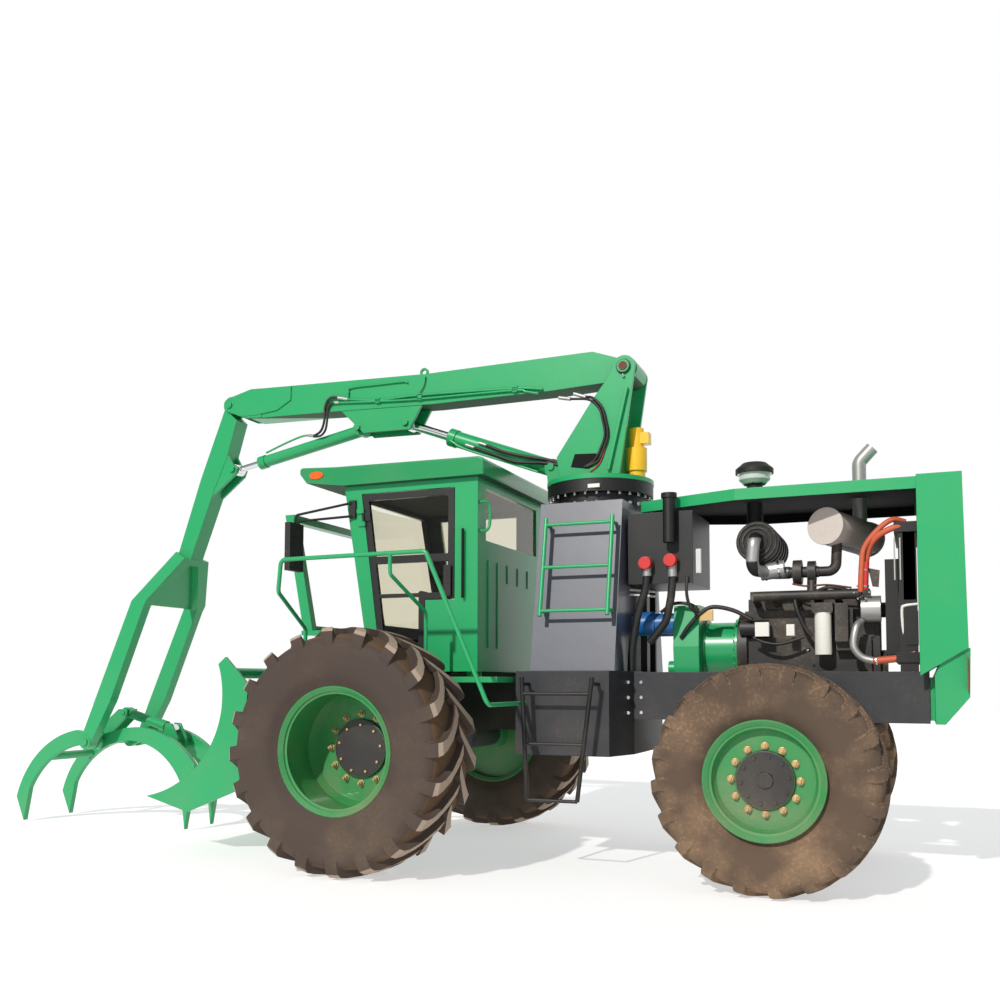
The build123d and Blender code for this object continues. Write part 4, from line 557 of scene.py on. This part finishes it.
PIPES = [
    # place, body, material, radius, points in millimetres
    ("boom_pipes", "boom", "green_paint", 10, [
        (-858, -124, 3889), (-544, -124, 3850), (-129, -124, 3849), (726, -124, 3812), (870, -124, 3798),
        (1000, -126, 3776),
    ]),
    ("boom_pipes", "boom", "green_paint", 10, [
        (-945, -124, 3868), (-544, -124, 3838), (-129, -124, 3815), (726, -124, 3795), (850, -124, 3772),
        (960, -126, 3744),
    ]),
    ("boom_pipes", "boom", "green_paint", 8, [
        (-253, -122, 3971), (-288, -122, 3987), (-500, -122, 3990), (-816, -122, 3990), (-844, -124, 3949),
        (-848, -124, 3892),
    ]),
    ("boom_pipes", "boom", "hose", 4, [(-76, -120, 4006), (-90, -122, 3930), (-136, -124, 3859)]),
    ("boom_fittings", "boom", "aluminium", 15, [(-848, -124, 3888), (-950, -126, 3913)]),
    ("boom_fittings", "boom", "aluminium", 13, [(-940, -124, 3868), (-985, -126, 3872)]),
    ("dipper_hoses", "dipper_barrel", "hose", 11, [
        (-945, -128, 3913), (-1011, -132, 3922), (-1062, -130, 3889), (-1086, -126, 3830),
        (-1092, -120, 3738), (-1125, -100, 3665), (-1169, -82, 3628), (-1245, -54, 3611),
    ]),
    ("dipper_hoses", "dipper_barrel", "hose", 10, [
        (-980, -126, 3872), (-1030, -128, 3862), (-1058, -126, 3810), (-1066, -118, 3720),
        (-1098, -96, 3640), (-1160, -74, 3600), (-1245, -54, 3603),
    ]),
    ("dipper_pipe", "dipper_barrel", "green_paint", 9, [
        (-1772, -40, 3502), (-1571, -40, 3570), (-1389, -44, 3619), (-1298, -46, 3623),
    ]),
    ("dipper_fitting", "dipper_barrel", "aluminium", 14, [(-1305, -46, 3622), (-1240, -52, 3610)]),
    ("column_fittings", "crane_column", "aluminium", 15, [(1287, -186, 3690), (1392, -192, 3649)]),
    ("column_fittings", "crane_column", "aluminium", 15, [(1160, -184, 3672), (1262, -190, 3648)]),
    ("column_hoses", "crane_column", "hose", 11, [
        (1385, -192, 3652), (1455, -212, 3630), (1531, -222, 3548), (1562, -224, 3446), (1580, -224, 3322),
        (1542, -222, 3203), (1498, -218, 3121), (1403, -214, 3080),
    ]),
    ("column_hoses", "crane_column", "hose", 10, [
        (1255, -190, 3650), (1420, -206, 3622), (1506, -218, 3546), (1538, -222, 3446), (1556, -222, 3322),
        (1516, -220, 3208), (1466, -216, 3128), (1380, -212, 3078),
    ]),
    ("column_hoses", "crane_column", "red_paint", 5, [
        (1575, -216, 3300), (1545, -216, 3180), (1500, -214, 3090), (1430, -212, 3040),
    ]),
    ("lift_pipe", "lift_barrel", "green_paint", 10, [
        (137, -78, 3440), (274, -78, 3354), (633, -78, 3219), (940, -78, 3103),
    ]),
    ("lift_fittings", "lift_barrel", "aluminium", 14, [(409, -82, 3392), (487, -84, 3362)]),
    ("lift_fittings", "lift_barrel", "aluminium", 14, [(288, -82, 3386), (374, -84, 3352)]),
    ("lift_hoses", "lift_barrel", "hose", 14, [
        (480, -84, 3364), (654, -92, 3289), (845, -94, 3234), (1060, -94, 3184), (1180, -94, 3132),
    ]),
    ("lift_hoses", "lift_barrel", "hose", 14, [
        (368, -84, 3354), (571, -98, 3270), (764, -100, 3195), (980, -98, 3171), (1130, -98, 3140),
    ]),
    ("coolant", "chassis", "orange_hose", 19, [
        (3740, -380, 2478), (3653, -410, 2492), (3548, -420, 2412), (3472, -420, 2304), (3454, -420, 2194),
        (3443, -420, 2000),
    ]),
    ("coolant", "chassis", "orange_hose", 22, [
        (3780, -410, 2442), (3711, -430, 2440), (3650, -436, 2428), (3560, -424, 2380), (3500, -390, 2300),
        (3470, -360, 2150),
    ]),
    ("coolant", "chassis", "red_paint", 22, [(3482, -400, 2209), (3476, -400, 2110), (3472, -396, 2018)]),
    ("coolant", "chassis", "aluminium", 26, [
        (3440, -340, 1800), (3410, -400, 1760), (3391, -420, 1628), (3442, -420, 1550), (3515, -420, 1524),
    ]),
    ("coolant", "chassis", "orange_hose", 24, [
        (3510, -420, 1525), (3600, -420, 1530), (3687, -420, 1542), (3786, -420, 1577),
    ]),
    ("engine_lines", "chassis", "white_paint", 10, [
        (3808, -440, 1905), (3727, -440, 1896), (3707, -440, 1867), (3711, -430, 1700), (3713, -420, 1530),
    ]),
    ("engine_lines", "chassis", "hose", 16, [
        (2998, -360, 1962), (3010, -372, 1900), (3031, -372, 1840), (3066, -366, 1760), (3110, -350, 1696),
    ]),
    ("engine_lines", "chassis", "hose", 13, [
        (3120, -350, 2010), (3230, -372, 2044), (3350, -360, 2020), (3420, -340, 1960),
    ]),
    ("engine_lines", "chassis", "hose", 12, [
        (2700, -350, 1700), (2790, -366, 1660), (2900, -370, 1650), (3060, -360, 1700),
    ]),
    ("engine_lines", "chassis", "rust", 7, [
        (2980, -330, 2080), (3080, -346, 2060), (3220, -346, 2064), (3380, -330, 2040),
    ]),
    ("tank_hoses", "chassis", "hose", 30, [
        (1952, -478, 2170), (1936, -476, 2059), (1900, -470, 1950), (1866, -460, 1837), (1830, -450, 1640),
        (1818, -440, 1458),
    ]),
    ("tank_hoses", "chassis", "hose", 30, [
        (2145, -470, 2156), (2129, -468, 2009), (2108, -460, 1910), (2083, -450, 1825), (2010, -440, 1730),
        (1954, -430, 1672),
    ]),
    ("pump_lines", "chassis", "hose", 16, [
        (2170, -330, 1704), (2240, -345, 1800), (2330, -350, 1890), (2417, -340, 1929), (2560, -330, 1900),
        (2691, -330, 1827),
    ]),
    ("pump_lines", "chassis", "white_paint", 9, [(1784, -345, 2076), (1850, -345, 2070), (1978, -345, 2054)]),
    ("pump_lines", "chassis", "white_paint", 9, [(1784, -345, 2040), (1850, -345, 2034), (1978, -345, 2020)]),
    ("pump_lines", "chassis", "hose", 13, [
        (2020, -330, 1900), (2120, -350, 1960), (2250, -352, 1950), (2330, -340, 1880),
    ]),
    ("tank_hoses", "chassis", "hose", 12, [
        (2250, -462, 2150), (2244, -470, 2040), (2260, -450, 1940), (2300, -400, 1880),
    ]),
]
for place, body, material, radius, points in PIPES:
    trim(place, body, material).tube([at(*p) for p in points], radius / 1000, 12)

BOXES = [
    # place, body, material, low corner, high corner in millimetres
    ("boom_pipes", "boom", "green_paint", (-566, -134, 3822), (-522, -108, 3866)),
    ("boom_pipes", "boom", "green_paint", (733, -134, 3778), (777, -108, 3828)),
    ("boom_pipes", "boom", "green_paint", (-150, -134, 3804), (-108, -108, 3862)),
    ("radiator", "chassis", "aluminium", (3662, -452, 2071), (3672, -440, 2361)),
    ("radiator", "chassis", "aluminium", (3698, -452, 2071), (3708, -440, 2361)),
    ("radiator", "chassis", "matte_black", (3720, -440, 1936), (3797, -400, 2450)),
    ("radiator", "chassis", "matte_black", (3732, -446, 1628), (3809, -400, 1860)),
    ("valves", "chassis", "white_paint", (2720, -392, 1704), (2818, -340, 1806)),
    ("valves", "chassis", "white_paint", (2938, -386, 1706), (2994, -336, 1788)),
    ("plate_block", "chassis", "brass", (2310, -352, 1828), (2412, -330, 1908)),
    ("sight_glass", "chassis", "lamp_clear", (2314, -466, 2172), (2349, -440, 2350)),
    ("guards", "chassis", "engine_iron", (3268, -386, 1660), (3355, -340, 1930)),
]
for place, body, material, low, high in BOXES:
    trim(place, body, material).block(at(*low), at(*high))

RODS = [
    # place, body, material, radius, end radius, start, end in millimetres
    ("valves", "chassis", "red_paint", 52, 46, (1946, -500, 2256), (1946, -536, 2256)),
    ("valves", "chassis", "red_paint", 52, 46, (2134, -500, 2270), (2134, -536, 2270)),
    ("valves", "chassis", "aluminium", 34, 34, (1950, -478, 2262), (1952, -478, 2160)),
    ("valves", "chassis", "aluminium", 34, 34, (2138, -472, 2276), (2144, -472, 2150)),
    ("ducts", "chassis", "aluminium", 62, 62, (2764, -372, 2168), (2931, -372, 2188)),
    ("clamps", "chassis", "chrome_rod", 66, 66, (2790, -372, 2171), (2804, -372, 2173)),
    ("clamps", "chassis", "chrome_rod", 66, 66, (2888, -372, 2183), (2902, -372, 2185)),
    ("clamps", "chassis", "chrome_rod", 26, 26, (3478, -400, 2160), (3477, -400, 2148)),
    ("clamps", "chassis", "chrome_rod", 26, 26, (3473, -397, 2046), (3473, -397, 2034)),
    ("clamps", "chassis", "chrome_rod", 28, 28, (3528, -420, 1524), (3542, -420, 1526)),
    ("clamps", "chassis", "chrome_rod", 28, 28, (3748, -420, 1560), (3762, -420, 1566)),
    ("lift_port", "lift_barrel", "red_paint", 15, 15, (1054, -70, 3140), (1054, -96, 3140)),
    ("column_pins", "crane_column", "rust", 34, 34, (1706, -216, 3858), (1706, -236, 3858)),
    ("column_pins", "crane_column", "green_paint", 50, 50, (1706, -208, 3858), (1706, -230, 3858)),
    ("column_pins", "crane_column", "cap_black", 60, 60, (1706, -208, 3858), (1706, -214, 3858)),
    ("column_pins", "crane_column", "chrome_rod", 12, 12, (1706, -208, 3782), (1706, -226, 3782)),
]
for place, body, material, radius, end_radius, start, end in RODS:
    trim(place, body, material).rod(at(*start), at(*end), radius / 1000, 24, end_radius / 1000)

BOOM_CHEEK = [
    (-1455, 4076), (-1458, 3950), (-1610, 3868), (-1860, 3846), (-2010, 3852), (-2075, 3880),
    (-2100, 3960), (-2080, 4010), (-1899, 4092),
]
PLATES = [
    # place, body, material, outline (x, z), from y, to y
    ("boom_cheeks", "boom", "green_paint", BOOM_CHEEK, -121, -111),
    ("boom_cheeks", "boom", "green_paint", BOOM_CHEEK, 111, 121),
    # Painted shadow: a near-black sheet on the column plate stands in for the shade inside its opening
    ("column_opening", "crane_column", "void", [
        (1301, 3193), (1479, 3184), (1510, 3120), (1415, 3066), (1268, 3090),
    ], -208, -204),
    ("column_ridge", "crane_column", "green_paint", [
        (1726, 3685), (1748, 3680), (1595, 3036), (1573, 3044),
    ], -240, -204),
    ("guards", "chassis", "engine_iron", [
        (3493, 2169), (3569, 2150), (3560, 2034), (3520, 2040),
    ], -384, -366),
]
for place, body, material, outline, y0, y1 in PLATES:
    points = [at(x, 0, z) for x, z in outline]
    trim(place, body, material).prism([(p.x, p.z) for p in points], y0 / 1000, y1 / 1000)

# Slew ring: a bolt up through the lower ring and one down from the upper at each place
SLEW_X = 1450
SLEW_CIRCLE = 400
SLEW_BOLTS = 28
LOWER_RING_Z = 2750
UPPER_RING_Z = 2845
for number in range(SLEW_BOLTS):
    a = TAU * number / SLEW_BOLTS
    x, y = SLEW_X + SLEW_CIRCLE * math.cos(a), SLEW_CIRCLE * math.sin(a)
    low = at(x, y, LOWER_RING_Z)
    high = at(x, y, UPPER_RING_Z)
    trim("slew_bolts", "chassis", "chrome_rod").rod(low, low + Vector((0, 0, 0.026)), 0.015, 6)
    trim("turntable_bolts", "crane_column", "chrome_rod").rod(high, high - Vector((0, 0, 0.022)), 0.013, 6)

# Bolts of the frame, the pump drive's two flanges, the air cleaner's face and the engine
DRIVE_Z = 1625
FLANGE_BOLTS = 24
for z in (1150, 1262, 1375):
    for x, y in ((1822, -545), (1895, -450)):
        trim("frame_bolts", "chassis", "chrome_rod").rod(at(x, y + 20, z), at(x, y - 10, z), 0.013, 12)
for x, radius in ((2300, 215), (2545, 221)):
    for number in range(FLANGE_BOLTS):
        a = TAU * number / FLANGE_BOLTS
        y, z = radius * math.cos(a), DRIVE_Z + radius * math.sin(a)
        trim("housing_bolts", "chassis", "green_paint").rod(at(x - 12, y, z), at(x + 14, y, z), 0.011, 6)
for ring in (0.140, 0.108, 0.074):
    ridge = [(0, ring), (0.012, ring - 0.004), (0.012, ring - 0.012), (0, ring - 0.016)]
    trim("cleaner_face", "chassis", "engine_iron").lathe(at(2750, -440, 2381), (0, -1, 0), ridge, 40)
trim("rear_strip", "chassis", "red_paint").block(at(4093, -640, 1330), at(4097, -560, 1560))
for x, z, count in ((3448, 2000, 6), (3131, 1600, 2)):
    for p in circle(at(x, -380, z), (0, -1, 0), 0.05, count):
        trim("engine_bolts", "chassis", "chrome_rod").rod(p, p + Vector((0, -0.012, 0)), 0.008, 6)

# Cab roof: the same moulding with its corners rounded
roof_line = [
    (756, 2962), (756, 3080), (738, 3102), (706, 3109), (-560, 3125), (-880, 3141), (-899, 3135), (-905, 3118),
    (-905, 3088), (-840, 3007), (-500, 2962),
]
roof = Build().prism([(at(x, 0, z).x, z / 1000) for x, z in roof_line], -0.782, 0.782)
roof_shell = roof.make("roof_moulding", "roof_paint", "chassis", bevel=0.012, smooth=50)
roof_shell.modifiers["edges"].segments = 4
# Painted shade: the roof's underside takes the darker green
roof_shell.data.materials.append(MATERIALS["painted_shade_green"])
for face in roof_shell.data.polygons:
    face.material_index = 1 if abs(face.normal.z) > 0.5 and face.center.z < 3.05 else 0
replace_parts(roof_shell, "cab_roof")


# Seat pads
EDGE_SHARE = 0.7
PAD_STEPS = 22
CHANNEL_DEPTH = 0.35
CHANNEL_WIDTH = 0.05


def cushion(name, low, high, crown, channels):
    """A stuffed pad: a round-edged form that swells to crown in the middle, with sewn channels across it.

    A point of the box is the nearest point of its core plus the edge's radius outwards. Each face then rises
    by the crown times (1 - u squared)(1 - v squared), less a narrow bell at each channel.
    """
    low, high = np.array(at(*low)), np.array(at(*high))
    middle, half = (low + high) / 2, (high - low) / 2 - crown
    soft = min(half) * EDGE_SHARE
    build, n = Build(), PAD_STEPS
    line = np.linspace(-1, 1, n + 1)
    for axis in range(3):
        for sign in (-1, 1):
            unit = np.zeros((n + 1, n + 1, 3))
            unit[..., axis] = sign
            unit[..., (axis + 1) % 3], unit[..., (axis + 2) % 3] = np.meshgrid(line, line, indexing="ij")
            points = unit * half
            core = np.clip(points, -(half - soft), half - soft)
            away = points - core
            points = core + soft * away / np.linalg.norm(away, axis=2, keepdims=True)
            swell = crown * np.prod([1 - unit[..., k] ** 2 for k in range(3) if k != axis], axis=0)
            across = unit[..., 1] if axis != 1 else np.full((n + 1, n + 1), 9.0)
            for c in channels:
                swell = swell - CHANNEL_DEPTH * crown * np.exp(-((across - c) / CHANNEL_WIDTH) ** 2)
            points[..., axis] += sign * swell
            build.grid(points + middle if sign > 0 else (points + middle)[::-1])
    obj = build.make(name, "seat_fabric", "chassis", smooth=80)
    joined = bmesh.new()
    joined.from_mesh(obj.data)
    bmesh.ops.remove_doubles(joined, verts=joined.verts, dist=0.0004)
    joined.to_mesh(obj.data)
    joined.free()
    obj.data.polygons.foreach_set("use_smooth", np.ones(len(obj.data.polygons), bool))
    return obj


cushion("seat_cushion", (120, -250, 1702), (560, 250, 1818), 0.018, (-0.5, 0.5))
cushion("seat_back", (440, -240, 1822), (568, 240, 2378), 0.018, (-0.5, 0.5))
seat_base = Build().block(at(200, -160, 1496), at(500, 160, 1640))
seat_base.block(at(140, -230, 1640), at(560, 230, 1700))
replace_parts(seat_base.make("seat_base", "matte_black", "chassis", bevel=0.01), "seat")

# Cab details: marker lamp, latch, rear handle, ribs pressed in the rear panel
oval = [(-741 + 66 * math.cos(TAU * i / 24), 3067 + 32 * math.sin(TAU * i / 24)) for i in range(24)]
trim("marker", "chassis", "lamp_orange").prism([(at(x, 0, z).x, z / 1000) for x, z in oval], -0.790, -0.752)
trim("plate", "crane_column", "white_paint").block(at(1478, -428, 2868), at(1572, -414, 2898))
trim("latch", "door", "matte_black").block(at(405, -752, 2040), at(467, -738, 2280))
handle = [
    at(684, -690, 2768), at(730, -668, 2772), at(748, -640, 2730), at(748, -640, 2600), at(730, -660, 2548),
    at(684, -690, 2545),
]
trim("rear_handle", "chassis", "green_paint").tube(handle, 0.012)
for y, low in ((-520, 1640), (-330, 1640), (-120, 2180), (110, 2180), (340, 2180)):
    trim("cab_ribs", "chassis", "green_paint").block(at(682, y - 8, low), at(693, y + 8, 2330))
# Painted shadow: a near-black strip by the door stands in for the shade inside the slot
trim("cab_slot", "chassis", "void").block(at(560, -756, 2020), at(578, -744, 2560))

for (place, body, material), build in gathered.items():
    build.make(f"{place}_{material}", material, body, smooth=35)


# Camera, floor and light

def camera():
    """The photograph's viewpoint: eye, turn about the vertical, rise and roll."""
    yaw, pitch, roll = math.radians(22.469), math.radians(3.543), math.radians(0.111)
    level = math.cos(pitch)
    forward = Vector((-math.sin(yaw) * level, math.cos(yaw) * level, math.sin(pitch)))
    data = bpy.data.cameras.new("camera")
    data.sensor_width, data.lens, data.shift_y, data.clip_end = 36, 36.407, 0.12, 200
    obj = bpy.data.objects.new("camera", data)
    bpy.context.scene.collection.objects.link(obj)
    turn = forward.to_track_quat("-Z", "Y").to_matrix().to_4x4() @ Matrix.Rotation(roll, 4, "Z")
    obj.matrix_world = Matrix.Translation(at(3802.5, -7811.3, 1369.4)) @ turn
    bpy.context.scene.camera = obj


def sun(name, direction, power, spread, colour):
    """A far light that shines from the given direction."""
    data = bpy.data.lights.new(name, "SUN")
    data.energy, data.angle, data.color = power, math.radians(spread), colour
    obj = bpy.data.objects.new(name, data)
    bpy.context.scene.collection.objects.link(obj)
    obj.matrix_world = (-Vector(direction)).to_track_quat("-Z", "Y").to_matrix().to_4x4()


def staged(name, verts, glow, albedo):
    """A white sheet behind or under the machine."""
    mesh = bpy.data.meshes.new(name)
    mesh.from_pydata(verts, [], [(0, 1, 2, 3)])
    obj = bpy.data.objects.new(name, mesh)
    bpy.context.scene.collection.objects.link(obj)
    material, nodes, link, shader = tree(name)
    shader.inputs["Base Color"].default_value = (albedo, albedo, albedo, 1)
    shader.inputs["Roughness"].default_value = 1.0
    shader.inputs["Specular IOR Level"].default_value = 0.0
    shader.inputs["Emission Color"].default_value = (1, 1, 1, 1)
    shader.inputs["Emission Strength"].default_value = glow
    mesh.materials.append(material)


def studio():
    """A white floor that keeps the shadow, a white backdrop, a soft sky and one sun."""
    floor = [(-80, -80, -0.002), (80, -80, -0.002), (80, 80, -0.002), (-80, 80, -0.002)]
    staged("floor", floor, glow=0.5, albedo=0.6)
    backdrop = [(-80, 40, -5), (80, 40, -5), (80, 40, 60), (-80, 40, 60)]
    staged("backdrop", backdrop, glow=1.0, albedo=0.0)
    world = bpy.data.worlds.new("world")
    bpy.context.scene.world = world
    world.use_nodes = True
    world.node_tree.nodes["Background"].inputs["Color"].default_value = (0.93, 0.97, 1.0, 1)
    world.node_tree.nodes["Background"].inputs["Strength"].default_value = 0.42
    sun("sun", (-0.15, -0.82, 0.56), 3.0, 1.5, (1.0, 0.97, 0.92))


camera()
studio()
bpy.context.scene.view_settings.view_transform = "Standard"
bpy.context.scene.view_settings.look = "None"
